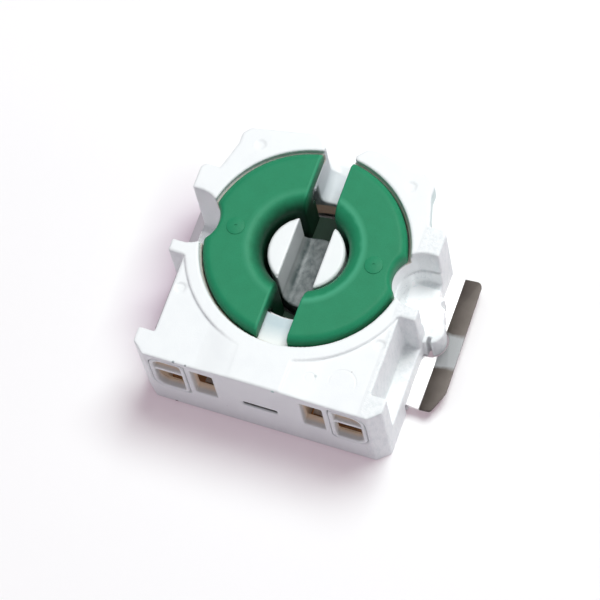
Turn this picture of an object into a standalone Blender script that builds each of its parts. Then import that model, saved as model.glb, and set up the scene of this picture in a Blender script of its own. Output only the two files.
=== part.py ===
"""Fluorescent tube lamp holder with a turning rotor, as an assembly of its real pieces.

Run with: blender --background --python part.py
Units are metres. +Z points out of the face that the lamp plugs into, +Y points to the
insertion mouth, and the wires enter at the -Y end. The origin lies on the rotor's axis, in
the plane of the back cover's outer face.
"""

import math

import bmesh
import bpy
from mathutils import Matrix, Vector

# Fits and fineness
FIT_GAP = 0.0003            # gap between pieces that touch or run on each other
CUT_MARGIN = 0.0020         # how far a cutter runs past the face that it cuts
ARC_STEP = math.radians(15)  # turn between two points of a rounded corner
ROUND_SIDES = 56            # sides of a large round cut
ROTOR_SIDES = 72
MIDDLE_SIDES = 48           # sides of a ring or post of middle size
SMALL_SIDES = 16            # sides of a small round hole or pin
BLADE_STEPS = 8             # points along each half of a contact's bow
ARC_LIMIT = 0.48            # most of a side that one corner's arc may take
SMOOTH_ANGLE = 35.0         # edges that turn more stay sharp, in degrees
FOLD_ANGLE = 12.0           # the same for folded sheet

# Lamp pins that the holder receives
PIN_PITCH = 0.0127
PIN_DIAMETER = 0.00235
PIN_PLAY = 0.00135          # rotor's slot wider than a pin
PIN_DEPTH = 0.0084          # free depth for the pins under the rotor's top

# Rotor
BARREL_WALL = 0.000475      # pin to the barrel's outside
FLANGE_REACH = 0.0040       # flange past the barrel
FLANGE_THICKNESS = 0.0024
ROTOR_PROUD = 0.00055       # rotor's top above the housing's front face
ROTOR_RIM = 0.0010          # radius of the rounded outer rim
FUNNEL_RADIUS = 0.0020      # radius of the round mouth of the rotor's hole
BARREL_BRIDGE = 0.0012      # ring that joins the two lobes under the slot
NOTCH_DEPTH = 0.0012        # side notches of the flange
MARK_RADIUS = 0.0011
MARK_HEIGHT = 0.00015

# Retaining ring of the rotor
RING_THICKNESS = 0.0006
RING_WIDTH = 0.0011
GROOVE_DEPTH = 0.0005
RING_PLAY = 0.0009          # ring's opening wider than the slot

# Centre guide
GUIDE_TO_PIN = 0.000575     # guide's side to a pin
GUIDE_PLAY = 0.0005         # rotor's hole round the guide
GUIDE_SLOT_PLAY = 0.0006    # guide's slot wider than the rotor's
GUIDE_BELOW_TOP = 0.0020    # guide's tips below the rotor's top
GUIDE_TIP_ROUND = 0.0005
SPIGOT_RADIUS = 0.0024

# Sheets at the back
COVER_THICKNESS = 0.0012
PLATE_THICKNESS = 0.0005
FILM_THICKNESS = 0.0006

# Housing
HOUSING_DEPTH = 0.01385     # back plane to front face
RECESS_WALL = 0.0010        # wall beside the rotor's seat
SHELF_WIDTH = 0.0020        # how far the base stands out past the upper body
END_WALL = 0.0017           # wall past the rotor's seat at the insertion end
TERMINAL_LAND = 0.0057      # rotor's seat to the terminal face
MOUTH_LAND = 0.0025         # flat end beside the mouth
SHOULDER_IN = 0.0021
SHOULDER_BACK = 0.0013
NECK_IN = 0.0013
NECK_TOP_BACK = 0.0022
NECK_LOW_BACK = 0.0036
SHELF_HEIGHT = 0.0052       # top of the wide base above the back plane
FRONT_PLATE = 0.0030        # thickness of the front plate over the undercut end
UNDERCUT = 0.0013           # how far the body stands back under the front plate
SKIRT_WALL = 0.0014
SCOOP_FLOOR = 0.0008
CORNER_ROUND = 0.0005
EDGE_ROUND = 0.00025

# Lugs on the long sides
FAR_LUG = 0.0034
MID_LUG = 0.0016
CORNER_LUG = 0.0031
CORNER_CHAMFER_X = 0.0015
CORNER_CHAMFER_Y = 0.0013

# Side recesses shaped like a U
SCOOP_RADIUS = 0.0034
SCOOP_STEP = 0.00025        # ledge on the wall of the U
SCOOP_STEP_DEPTH = 0.0050

# Rotor seat in the housing
LEDGE_THICKNESS = 0.0010
BLADE_ROOM = 0.0020         # room for a contact beside the barrel
MOUTH_PLAY = 0.0001         # mouth wider than the rotor's slot
MOUTH_FLARE = 0.0013
MOUTH_FLARE_LENGTH = 0.0012

# Raised collar and lowered panels of the front face
COLLAR_WIDTH = 0.0018
BRIDGE_HALF_WIDTH = 0.00325
PANEL_STEP = 0.00035

# Small round marks of the mould, from the nearest side and end of the front face
DIMPLE_RADIUS = 0.0006
DIMPLE_DEPTH = 0.0002
FAR_DIMPLE_IN = 0.0039
FAR_DIMPLE_BACK = 0.0031
NEAR_DIMPLE_IN = 0.0010
NEAR_DIMPLE_BACK = 0.0091

# Terminal end
TERMINAL_WALL = 0.0014
ENTRY_LAND = 0.0010         # face left between the arched wire entry and the chamfer
ENTRY_WIDTH = 0.0034
ENTRY_HEIGHT = 0.0072
ENTRY_BELOW_PANEL = 0.0014
ENTRY_ROUND = 0.0013        # outer corners of the arch
ENTRY_INNER_ROUND = 0.0004
ENTRY_BAR = 0.0006          # cross bar in the entry
ENTRY_BAR_BELOW_TOP = 0.0026
INSERT_WALL = 0.0005
ENTRY_TO_SQUARE = 0.0013    # wall between the arched entry and the square one
SQUARE_WIDTH = 0.0027
SQUARE_HEIGHT = 0.0063
SQUARE_BELOW_PANEL = 0.0016
SLIT_WIDTH = 0.0043
SLIT_HEIGHT = 0.0010
SLIT_BOTTOM = 0.0060
SLIT_DEPTH = 0.0010
CAGE_MARGIN = 0.0004        # terminal chamber past the square hole
CAGE_WALL = 0.0004          # wall between the chamber's high part and the rotor's seat
CAGE_LENGTH = 0.0068

# Terminal bars and springs
BAR_THICKNESS = 0.0005
CLAMP_THICKNESS = 0.0003
CLAMP_WIDTH = 0.0022
CLAMP_BELOW_BAR = 0.0009    # clamp's tip to the terminal bar's upper leg
CLAMP_BACKSET = 0.0026
CLAMP_ROOT = 0.00075        # width of the leaf where it leaves its foot
BLADE_THICKNESS = 0.0004
BLADE_END = 0.0046          # rotor axis to the free end of the contact
BLADE_FOOT = 0.0018

# Steel plate
WING_STRIP = 0.0013         # flat of a wing outside the housing
WING_FAR_GAP = 0.0006       # wing's far end to the outer side of the far lug
WING_LENGTH = 0.0172
WING_DROP = 0.0002
LIP_WIDTH = 0.0027
LIP_RISE = 0.0005
LIP_CORNER_X = 0.0009
LIP_CORNER_Y = 0.0025

# Peg on the right of the base
PEG_RADIUS = 0.0019
PEG_OUT = 0.0002            # peg's centre past the base's side
PEG_Y = -0.0025
PEG_TOP = 0.0060
PEG_GROOVE = 0.0006
PEG_GROOVE_LENGTH = 0.0014

# Cover rivets
RIVET_RADIUS = 0.0007
RIVET_HEAD_RADIUS = 0.0011
RIVET_HEAD = 0.0006
RIVET_LENGTH = 0.0036
RIVET_INSET = 0.0020
NEAR_RIVET_X = 0.0021
NEAR_RIVET_BACK = 0.0046

# Sizes that follow in plan
BARREL_RADIUS = PIN_PITCH / 2 + PIN_DIAMETER / 2 + BARREL_WALL
ROTOR_RADIUS = BARREL_RADIUS + FLANGE_REACH
ROTOR_SLOT = PIN_DIAMETER + PIN_PLAY
GUIDE_RADIUS = PIN_PITCH / 2 - PIN_DIAMETER / 2 - GUIDE_TO_PIN
GUIDE_SLOT = ROTOR_SLOT + GUIDE_SLOT_PLAY
ROTOR_HOLE_RADIUS = GUIDE_RADIUS + GUIDE_PLAY
MOUTH_WIDTH = ROTOR_SLOT + MOUTH_PLAY
SEAT_RADIUS = ROTOR_RADIUS + FIT_GAP
BORE_RADIUS = BARREL_RADIUS + FIT_GAP
COLLAR_RADIUS = SEAT_RADIUS + COLLAR_WIDTH
GROOVE_RADIUS = BARREL_RADIUS - GROOVE_DEPTH
RING_INNER = GROOVE_RADIUS + FIT_GAP
RING_OUTER = RING_INNER + RING_WIDTH
CHAMBER_RADIUS = RING_OUTER + FIT_GAP
CHAMBER_HALF_WIDTH = BARREL_RADIUS + BLADE_ROOM
SCOOP_CENTRE = ROTOR_RADIUS + SCOOP_RADIUS - NOTCH_DEPTH
HALF_WIDTH = SEAT_RADIUS + RECESS_WALL
BASE_HALF_WIDTH = HALF_WIDTH + SHELF_WIDTH
MOUTH_REACH = SEAT_RADIUS + END_WALL
TERMINAL_REACH = SEAT_RADIUS + TERMINAL_LAND
SHOULDER_X = HALF_WIDTH - SHOULDER_IN
SHOULDER_Y = MOUTH_REACH - SHOULDER_BACK
NECK_X = HALF_WIDTH - NECK_IN
ENTRY_OUTER = BASE_HALF_WIDTH - CORNER_CHAMFER_X - ENTRY_LAND
ENTRY_INNER = ENTRY_OUTER - ENTRY_WIDTH
SQUARE_OUTER = ENTRY_INNER - ENTRY_TO_SQUARE
SQUARE_INNER = SQUARE_OUTER - SQUARE_WIDTH
FAR_LUG_Y = SCOOP_RADIUS + FAR_LUG
MID_LUG_Y = -SCOOP_RADIUS - MID_LUG
CORNER_LUG_Y = CORNER_LUG - TERMINAL_REACH
CAGE_NEAR_Y = TERMINAL_WALL - TERMINAL_REACH
CAGE_FAR_Y = CAGE_NEAR_Y + CAGE_LENGTH
CAGE_INNER = SQUARE_INNER - CAGE_MARGIN
CAGE_OUTER = HALF_WIDTH - RECESS_WALL
WING_FAR_Y = FAR_LUG_Y - WING_FAR_GAP
WING_NEAR_Y = WING_FAR_Y - WING_LENGTH
WING_REACH = BASE_HALF_WIDTH + WING_STRIP
PEG_CENTRE = BASE_HALF_WIDTH + PEG_OUT

# Heights that follow
FRONT_Z = HOUSING_DEPTH
ROTOR_TOP = FRONT_Z + ROTOR_PROUD
FLANGE_Z = ROTOR_TOP - FLANGE_THICKNESS
LEDGE_Z = FLANGE_Z - FIT_GAP
LEDGE_UNDER_Z = LEDGE_Z - LEDGE_THICKNESS
PLATE_Z = COVER_THICKNESS + FIT_GAP
PLATE_TOP = PLATE_Z + PLATE_THICKNESS
SEAT_Z = PLATE_TOP + FIT_GAP
FILM_TOP = SEAT_Z + FILM_THICKNESS
INSIDE_Z = FILM_TOP + FIT_GAP
BRIDGE_TOP = INSIDE_Z + BARREL_BRIDGE
PIN_FLOOR = ROTOR_TOP - PIN_DEPTH
GUIDE_TOP = ROTOR_TOP - GUIDE_BELOW_TOP
RING_TOP = LEDGE_UNDER_Z - FIT_GAP
RING_Z = RING_TOP - RING_THICKNESS
BLADE_TOP = RING_Z - FIT_GAP
PANEL_Z = FRONT_Z - PANEL_STEP
UNDERCUT_Z = FRONT_Z - FRONT_PLATE
ENTRY_TOP = PANEL_Z - ENTRY_BELOW_PANEL
SQUARE_TOP = PANEL_Z - SQUARE_BELOW_PANEL

# Colour, roughness and metal of each finish
FINISHES = {
    "white_plastic": ((0.86, 0.88, 0.88, 1.0), 0.42, 0.0),
    "green_plastic": ((0.028, 0.26, 0.13, 1.0), 0.48, 0.0),
    "bright_steel": ((0.62, 0.60, 0.58, 1.0), 0.22, 1.0),
    "bronze": ((0.55, 0.33, 0.17, 1.0), 0.34, 1.0),
    "spring_steel": ((0.50, 0.50, 0.50, 1.0), 0.30, 1.0),
    "grey_film": ((0.35, 0.36, 0.38, 1.0), 0.60, 0.0),
}


def remove_old_objects():
    """Empty the scene."""
    for old in list(bpy.data.objects):
        bpy.data.objects.remove(old, do_unlink=True)


def finish_material(name):
    """Return the Principled material of one finish."""
    material = bpy.data.materials.get(name)
    if material:
        return material
    colour, roughness, metallic = FINISHES[name]
    material = bpy.data.materials.new(name)
    material.use_nodes = True
    shader = material.node_tree.nodes["Principled BSDF"]
    shader.inputs["Base Color"].default_value = colour
    shader.inputs["Roughness"].default_value = roughness
    shader.inputs["Metallic"].default_value = metallic
    return material


def new_object(name, mesh, finish=None):
    """Link a mesh to the scene as a named object."""
    piece = bpy.data.objects.new(name, mesh)
    bpy.context.collection.objects.link(piece)
    if finish:
        mesh.materials.clear()
        mesh.materials.append(finish_material(finish))
    return piece


def mirrored(corners):
    """Close a right-hand outline, given from far to near, with its mirror image in X."""
    left = [(-x, y, r) for x, y, r in reversed(corners) if x > 0.0]
    return corners + left


def flipped(outline):
    """Mirror a plain outline in X, keeping its sense of turning."""
    return [Vector((-point[0], point[1])) for point in reversed(outline)]


def rounded(corners):
    """Turn corners (x, y, radius) into plain points, with an arc at each rounded corner."""
    outline = []
    count = len(corners)
    for index, (x, y, radius) in enumerate(corners):
        corner = Vector((x, y))
        before = Vector(corners[index - 1][:2]) - corner
        after = Vector(corners[(index + 1) % count][:2]) - corner
        if radius <= 0.0:
            outline.append(corner)
            continue
        half = before.angle(after) / 2
        reach = min(radius / math.tan(half), before.length * ARC_LIMIT,
                    after.length * ARC_LIMIT)
        arc_radius = reach * math.tan(half)
        middle = (before.normalized() + after.normalized()).normalized()
        centre = corner + middle * (arc_radius / math.sin(half))
        first = corner + before.normalized() * reach - centre
        last = corner + after.normalized() * reach - centre
        turn = first.angle_signed(last)
        steps = max(1, round(abs(turn) / ARC_STEP))
        for step in range(steps + 1):
            outline.append(centre + Matrix.Rotation(-turn * step / steps, 2) @ first)
    return outline


def arc_points(centre, radius, start, end, steps):
    """Return points on an arc, from one angle to another."""
    angles = [start + (end - start) * step / steps for step in range(steps + 1)]
    return [Vector((centre[0] + radius * math.cos(a), centre[1] + radius * math.sin(a)))
            for a in angles]


def prism(name, outline, low, high, finish=None):
    """Extrude an outline in the XY plane from one height to another."""
    shape = bmesh.new()
    base = [shape.verts.new((point[0], point[1], low)) for point in outline]
    face = shape.faces.new(base)
    top = bmesh.ops.extrude_face_region(shape, geom=[face])["geom"]
    moved = [item for item in top if isinstance(item, bmesh.types.BMVert)]
    bmesh.ops.translate(shape, verts=moved, vec=(0.0, 0.0, high - low))
    bmesh.ops.recalc_face_normals(shape, faces=shape.faces)
    mesh = bpy.data.meshes.new(name)
    shape.to_mesh(mesh)
    shape.free()
    return new_object(name, mesh, finish)


def box(name, low, high, finish=None):
    """Make a box from its lowest and highest corners."""
    outline = [(low[0], low[1]), (high[0], low[1]), (high[0], high[1]), (low[0], high[1])]
    return prism(name, outline, low[2], high[2], finish)


def side_boxes(name, inner, outer, near, far, low, high):
    """Make a box on the right and its mirror image on the left."""
    return [box(name, (inner, near, low), (outer, far, high)),
            box(name, (-outer, near, low), (-inner, far, high))]


def disc(name, centre, radius, low, high, sides=SMALL_SIDES, finish=None):
    """Make an upright cylinder, with the middle of a side and no corner on each axis."""
    start = math.pi / sides
    outline = arc_points(centre, radius, start, start + math.tau, sides)[:-1]
    return prism(name, outline, low, high, finish)


def turned(name, profile, sides, finish=None):
    """Spin a closed profile of (radius, height) points about the Z axis."""
    shape = bmesh.new()
    rings = []
    for side in range(sides):
        turn = Matrix.Rotation(math.tau * (side + 0.5) / sides, 3, "Z")
        rings.append([shape.verts.new(turn @ Vector((r, 0.0, z))) for r, z in profile])
    count = len(profile)
    for side in range(sides):
        here = rings[side]
        there = rings[(side + 1) % sides]
        for point in range(count):
            follow = (point + 1) % count
            shape.faces.new((here[point], there[point], there[follow], here[follow]))
    bmesh.ops.recalc_face_normals(shape, faces=shape.faces)
    mesh = bpy.data.meshes.new(name)
    shape.to_mesh(mesh)
    shape.free()
    return new_object(name, mesh, finish)


def stood_up(piece):
    """Turn a prism of an XZ outline so that its height runs along +Y."""
    piece.data.transform(Matrix(((1, 0, 0, 0), (0, 0, 1, 0), (0, 1, 0, 0), (0, 0, 0, 1))))
    piece.data.flip_normals()
    return piece


def laid_over(piece):
    """Turn a prism of a YZ outline so that its height runs along +X."""
    piece.data.transform(Matrix(((0, 0, 1, 0), (1, 0, 0, 0), (0, 1, 0, 0), (0, 0, 0, 1))))
    return piece


def mirror_image(name, piece):
    """Make the mirror image in X of a finished piece as an object of its own."""
    mesh = piece.data.copy()
    mesh.transform(Matrix.Scale(-1.0, 4, Vector((1.0, 0.0, 0.0))))
    mesh.flip_normals()
    mesh.name = name
    return new_object(name, mesh)


def combine(piece, others, operation):
    """Cut, join or cross a piece with other solids, which are used up."""
    for other in others:
        step = piece.modifiers.new(operation.title(), "BOOLEAN")
        step.operation = operation
        step.solver = "EXACT"
        step.object = other
        depsgraph = bpy.context.evaluated_depsgraph_get()
        done = bpy.data.meshes.new_from_object(piece.evaluated_get(depsgraph))
        piece.modifiers.clear()
        old = piece.data
        done.name = piece.name
        piece.data = done
        bpy.data.meshes.remove(old)
        bpy.data.objects.remove(other, do_unlink=True)
    return piece


def smooth(piece, angle=SMOOTH_ANGLE):
    """Shade a piece smooth, with its sharp edges kept."""
    piece.data.shade_smooth()
    piece.data.set_sharp_from_angle(angle=math.radians(angle))
    return piece


def rivet_places():
    """Return the name and the centre of each cover rivet."""
    far_x = NECK_X - UNDERCUT - SKIRT_WALL - RIVET_INSET
    far_y = SHOULDER_Y - UNDERCUT - SKIRT_WALL - RIVET_INSET
    near_y = NEAR_RIVET_BACK - TERMINAL_REACH
    places = []
    for end, x, y in (("far", far_x, far_y), ("near", NEAR_RIVET_X, near_y)):
        places.append((end + "_right", (x, y)))
        places.append((end + "_left", (-x, y)))
    return places


def rivet_holes(low, high):
    """Cutters for the holes that the rivets pass through."""
    return [disc("rivet_hole", centre, RIVET_RADIUS + FIT_GAP, low, high)
            for _, centre in rivet_places()]


def body_outline():
    """Outline of the housing at its widest, seen from the front."""
    neck_foot = HALF_WIDTH - EDGE_ROUND
    right = [
        (MOUTH_WIDTH / 2 + MOUTH_LAND, MOUTH_REACH, CORNER_ROUND),
        (SHOULDER_X, SHOULDER_Y, CORNER_ROUND),
        (NECK_X, MOUTH_REACH - NECK_TOP_BACK, CORNER_ROUND),
        (NECK_X, MOUTH_REACH - NECK_LOW_BACK, CORNER_ROUND),
        (neck_foot, FAR_LUG_Y, 0.0),
        (BASE_HALF_WIDTH - CORNER_ROUND, FAR_LUG_Y, EDGE_ROUND),
        (BASE_HALF_WIDTH, FAR_LUG_Y - CORNER_ROUND, EDGE_ROUND),
        (BASE_HALF_WIDTH, CORNER_CHAMFER_Y - TERMINAL_REACH, EDGE_ROUND),
        (BASE_HALF_WIDTH - CORNER_CHAMFER_X, -TERMINAL_REACH, EDGE_ROUND),
    ]
    return rounded(mirrored(right))


def undercut_cutters():
    """Cutters that set the insertion end back under the front plate, right then left."""
    far = MOUTH_REACH + CUT_MARGIN
    wide = BASE_HALF_WIDTH + CUT_MARGIN
    land = MOUTH_WIDTH / 2 + MOUTH_LAND
    start = land - UNDERCUT
    near = FAR_LUG_Y - EDGE_ROUND
    right = [(start, far), (start, MOUTH_REACH - EDGE_ROUND), (land, MOUTH_REACH - UNDERCUT),
             (SHOULDER_X - UNDERCUT, SHOULDER_Y - UNDERCUT),
             (NECK_X - UNDERCUT, MOUTH_REACH - NECK_TOP_BACK - UNDERCUT),
             (NECK_X - UNDERCUT / 2, near), (wide, near), (wide, far)]
    return [prism("undercut", side, -CUT_MARGIN, UNDERCUT_Z) for side in (right, flipped(right))]


def scoop_cutters(radius, low):
    """Cutters for the U-shaped recess of each side, down to a given height."""
    wide = BASE_HALF_WIDTH + CUT_MARGIN
    quarter = math.pi / 2
    inner = arc_points((SCOOP_CENTRE, 0.0), radius, quarter, 3 * quarter, 16)
    right = [Vector((wide, radius))] + inner + [Vector((wide, -radius))]
    high = ROTOR_TOP + CUT_MARGIN
    return [prism("scoop", side, low, high) for side in (right, flipped(right))]


def panel_cutters():
    """Cutters that lower the two panels beside the raised bridge, outside the collar."""
    wide = BASE_HALF_WIDTH + CUT_MARGIN
    near = -TERMINAL_REACH - CUT_MARGIN
    start = -math.acos(BRIDGE_HALF_WIDTH / COLLAR_RADIUS)
    end = math.asin(MID_LUG_Y / COLLAR_RADIUS)
    arc = arc_points((0.0, 0.0), COLLAR_RADIUS, start, end, 14)
    right = [Vector((BRIDGE_HALF_WIDTH, near))] + arc
    right += [Vector((wide, MID_LUG_Y)), Vector((wide, near))]
    high = FRONT_Z + CUT_MARGIN
    return [prism("panel", side, PANEL_Z, high) for side in (right, flipped(right))]


def mouth_cutter():
    """Cutter for the way in of the lamp pins, with its flared end."""
    half = MOUTH_WIDTH / 2
    flare_y = MOUTH_REACH - MOUTH_FLARE_LENGTH
    far = MOUTH_REACH + CUT_MARGIN
    wide = half + MOUTH_FLARE * (far - flare_y) / MOUTH_FLARE_LENGTH
    outline = [(-half, 0.0), (half, 0.0), (half, flare_y), (wide, far), (-wide, far),
               (-half, flare_y)]
    return prism("mouth", outline, PIN_FLOOR, FRONT_Z + CUT_MARGIN)


def seat_cutters():
    """Cutters for the rotor's seat, its bore and the chamber with the contacts."""
    side = CHAMBER_HALF_WIDTH
    high = FRONT_Z + CUT_MARGIN
    return [
        disc("seat", (0.0, 0.0), SEAT_RADIUS, LEDGE_Z, high, ROUND_SIDES),
        disc("bore", (0.0, 0.0), BORE_RADIUS, INSIDE_Z, high, ROUND_SIDES),
        disc("chamber", (0.0, 0.0), CHAMBER_RADIUS, -CUT_MARGIN, LEDGE_UNDER_Z, ROUND_SIDES),
        box("contact_way", (-side, CAGE_FAR_Y - FIT_GAP, -CUT_MARGIN),
            (side, BLADE_END + FIT_GAP * 2, LEDGE_UNDER_Z)),
    ]


def entry_outline(grow):
    """Outline in XZ of the right arched wire entry, made larger by a given amount."""
    low = ENTRY_TOP - ENTRY_HEIGHT - grow
    high = ENTRY_TOP + grow
    inner = ENTRY_INNER - grow
    outer = ENTRY_OUTER + grow
    return rounded([(inner, low, ENTRY_INNER_ROUND), (outer, low, ENTRY_ROUND + grow),
                    (outer, high, ENTRY_ROUND + grow), (inner, high, ENTRY_INNER_ROUND)])


def terminal_cutters():
    """Cutters for the terminal chambers and every hole of the terminal face."""
    front = -TERMINAL_REACH - CUT_MARGIN
    back = CAGE_NEAR_Y + CUT_MARGIN / 2
    entry = entry_outline(INSERT_WALL + FIT_GAP)
    cutters = [stood_up(prism("entry", side, front, back)) for side in (entry, flipped(entry))]
    cutters += side_boxes("square", SQUARE_INNER, SQUARE_OUTER, front, back,
                          SQUARE_TOP - SQUARE_HEIGHT, SQUARE_TOP)
    step_y = -SEAT_RADIUS - CAGE_WALL
    cutters += side_boxes("cage_front", CAGE_INNER, CAGE_OUTER, CAGE_NEAR_Y, step_y,
                          -CUT_MARGIN, SQUARE_TOP)
    cutters += side_boxes("cage_back", CAGE_INNER, CAGE_OUTER, step_y - FIT_GAP, CAGE_FAR_Y,
                          -CUT_MARGIN, LEDGE_UNDER_Z)
    half = SLIT_WIDTH / 2
    cutters.append(box("slit", (-half, front, SLIT_BOTTOM),
                       (half, SLIT_DEPTH - TERMINAL_REACH, SLIT_BOTTOM + SLIT_HEIGHT)))
    return cutters


def dimple_cutters():
    """Cutters for the small round marks that the mould leaves on the front face."""
    high = FRONT_Z + CUT_MARGIN
    far_x = HALF_WIDTH - FAR_DIMPLE_IN
    near_x = HALF_WIDTH - NEAR_DIMPLE_IN
    far_y = MOUTH_REACH - FAR_DIMPLE_BACK
    near_y = NEAR_DIMPLE_BACK - TERMINAL_REACH
    cutters = []
    for x, y, face in ((far_x, far_y, FRONT_Z), (near_x, near_y, PANEL_Z)):
        for side in (1, -1):
            cutters.append(disc("dimple", (side * x, y), DIMPLE_RADIUS, face - DIMPLE_DEPTH,
                                high))
    return cutters


def back_outline(inset):
    """Outline of the recess in the housing's back, or of what fits in it."""
    wide = BASE_HALF_WIDTH - SKIRT_WALL - inset
    far = SHOULDER_Y - UNDERCUT - SKIRT_WALL - inset
    near = SKIRT_WALL + inset - TERMINAL_REACH
    narrow = NECK_X - UNDERCUT - SKIRT_WALL - inset
    neck_y = WING_FAR_Y + FIT_GAP - inset
    return rounded(mirrored([(narrow, far, CORNER_ROUND), (narrow, neck_y, 0.0),
                             (wide, neck_y, 0.0), (wide, near, CORNER_ROUND)]))


def make_peg():
    """Half-round peg on the right of the base, with a groove beside it."""
    inner = BASE_HALF_WIDTH - EDGE_ROUND
    peg = disc("peg", (PEG_CENTRE, PEG_Y), PEG_RADIUS, PLATE_Z, PEG_TOP, MIDDLE_SIDES)
    keep = box("keep", (inner, PEG_Y - PEG_RADIUS * 2, 0.0),
               (PEG_CENTRE + PEG_RADIUS * 2, PEG_Y + PEG_RADIUS * 2, FRONT_Z))
    combine(peg, [keep], "INTERSECT")
    start = BASE_HALF_WIDTH + EDGE_ROUND
    near = PEG_Y - PEG_RADIUS - EDGE_ROUND
    groove = box("groove", (start, near, -CUT_MARGIN),
                 (start + PEG_GROOVE, near + PEG_GROOVE_LENGTH, FRONT_Z))
    return combine(peg, [groove], "DIFFERENCE")


def make_front_housing():
    """White moulded shell that carries everything."""
    housing = prism("front_housing", body_outline(), 0.0, FRONT_Z, "white_plastic")
    wide = BASE_HALF_WIDTH + CUT_MARGIN
    cutters = undercut_cutters()
    cutters += side_boxes("shelf", HALF_WIDTH, wide, CORNER_LUG_Y, MID_LUG_Y, SHELF_HEIGHT,
                          FRONT_Z + CUT_MARGIN)
    cutters += scoop_cutters(SCOOP_RADIUS, FRONT_Z - SCOOP_STEP_DEPTH)
    cutters += scoop_cutters(SCOOP_RADIUS - SCOOP_STEP, SEAT_Z + SCOOP_FLOOR)
    cutters += panel_cutters()
    cutters.append(box("wing_way", (-wide, WING_NEAR_Y - FIT_GAP, -CUT_MARGIN),
                       (wide, WING_FAR_Y + FIT_GAP, SEAT_Z)))
    cutters.append(prism("back_recess", back_outline(0.0), -CUT_MARGIN, SEAT_Z))
    cutters += seat_cutters()
    cutters.append(mouth_cutter())
    cutters += terminal_cutters()
    cutters += dimple_cutters()
    cutters += rivet_holes(-CUT_MARGIN, RIVET_HEAD + RIVET_LENGTH + FIT_GAP)
    combine(housing, cutters, "DIFFERENCE")
    combine(housing, [make_peg()], "UNION")
    return smooth(housing)


def quarter_round(centre_r, centre_z, radius, start, steps):
    """Points of a quarter circle in a turned profile, from a start angle onwards."""
    angles = [start + math.pi / 2 * step / steps for step in range(steps + 1)]
    return [(centre_r + radius * math.cos(a), centre_z + radius * math.sin(a)) for a in angles]


def make_rotor():
    """Green rotor: flange, barrel, slot, funnel and side notches in one moulding."""
    ring_low = RING_Z - FIT_GAP
    ring_high = RING_TOP + FIT_GAP
    rim = quarter_round(ROTOR_RADIUS - ROTOR_RIM, ROTOR_TOP - ROTOR_RIM, ROTOR_RIM, 0.0, 4)
    funnel = quarter_round(ROTOR_HOLE_RADIUS + FUNNEL_RADIUS, ROTOR_TOP - FUNNEL_RADIUS,
                           FUNNEL_RADIUS, math.pi / 2, 5)
    profile = [(ROTOR_HOLE_RADIUS, INSIDE_Z), (BARREL_RADIUS, INSIDE_Z),
               (BARREL_RADIUS, ring_low), (GROOVE_RADIUS, ring_low),
               (GROOVE_RADIUS, ring_high), (BARREL_RADIUS, ring_high),
               (BARREL_RADIUS, FLANGE_Z), (ROTOR_RADIUS, FLANGE_Z)] + rim + funnel
    rotor = turned("rotor", profile, ROTOR_SIDES, "green_plastic")
    offset = (ROTOR_HOLE_RADIUS + ROTOR_RADIUS) / 2
    marks = [disc("mark", (side * offset, 0.0), MARK_RADIUS, FLANGE_Z + FIT_GAP,
                  ROTOR_TOP + MARK_HEIGHT) for side in (1, -1)]
    combine(rotor, marks, "UNION")
    half = ROTOR_SLOT / 2
    reach = ROTOR_RADIUS + CUT_MARGIN
    high = ROTOR_TOP + CUT_MARGIN
    cutters = [box("slot", (-half, -reach, BRIDGE_TOP), (half, reach, high))]
    cutters += [disc("notch", (side * SCOOP_CENTRE, 0.0), SCOOP_RADIUS, FLANGE_Z - FIT_GAP / 2,
                     high, MIDDLE_SIDES) for side in (1, -1)]
    combine(rotor, cutters, "DIFFERENCE")
    return smooth(rotor)


def make_retaining_ring():
    """Split ring that keeps the rotor in the housing."""
    profile = [(RING_INNER, RING_Z), (RING_OUTER, RING_Z), (RING_OUTER, RING_TOP),
               (RING_INNER, RING_TOP)]
    ring = turned("rotor_retaining_ring", profile, MIDDLE_SIDES, "spring_steel")
    half = (ROTOR_SLOT + RING_PLAY) / 2
    opening = box("opening", (-half, 0.0, RING_Z - CUT_MARGIN),
                  (half, RING_OUTER * 2, RING_TOP + CUT_MARGIN))
    combine(ring, [opening], "DIFFERENCE")
    return smooth(ring)


def make_centre_guide():
    """White post in the middle, with the slot that lets the pins through."""
    tip = quarter_round(GUIDE_RADIUS - GUIDE_TIP_ROUND, GUIDE_TOP - GUIDE_TIP_ROUND,
                        GUIDE_TIP_ROUND, 0.0, 3)
    middle = SPIGOT_RADIUS / 2
    profile = [(GUIDE_RADIUS, INSIDE_Z)] + tip
    profile += [(middle, GUIDE_TOP), (middle, PLATE_Z), (SPIGOT_RADIUS, PLATE_Z),
                (SPIGOT_RADIUS, INSIDE_Z)]
    guide = turned("centre_guide", profile, MIDDLE_SIDES, "white_plastic")
    core = disc("core", (0.0, 0.0), (middle + SPIGOT_RADIUS) / 2, PLATE_Z, GUIDE_TOP)
    combine(guide, [core], "UNION")
    half = GUIDE_SLOT / 2
    reach = GUIDE_RADIUS + CUT_MARGIN
    slot = box("slot", (-half, -reach, PIN_FLOOR), (half, reach, GUIDE_TOP + CUT_MARGIN))
    combine(guide, [slot], "DIFFERENCE")
    return smooth(guide)


def make_back_cover():
    """White plate that closes the back, with a tab under each wing."""
    cover = prism("back_cover", back_outline(FIT_GAP), 0.0, COVER_THICKNESS, "white_plastic")
    tab = box("tab", (-BASE_HALF_WIDTH, WING_NEAR_Y, 0.0),
              (BASE_HALF_WIDTH, WING_FAR_Y, COVER_THICKNESS))
    combine(cover, [tab], "UNION")
    cutters = rivet_holes(-CUT_MARGIN, COVER_THICKNESS + CUT_MARGIN)
    cutters += [disc("head_seat", centre, RIVET_HEAD_RADIUS + FIT_GAP, -CUT_MARGIN,
                     RIVET_HEAD + FIT_GAP) for _, centre in rivet_places()]
    return combine(cover, cutters, "DIFFERENCE")


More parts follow.
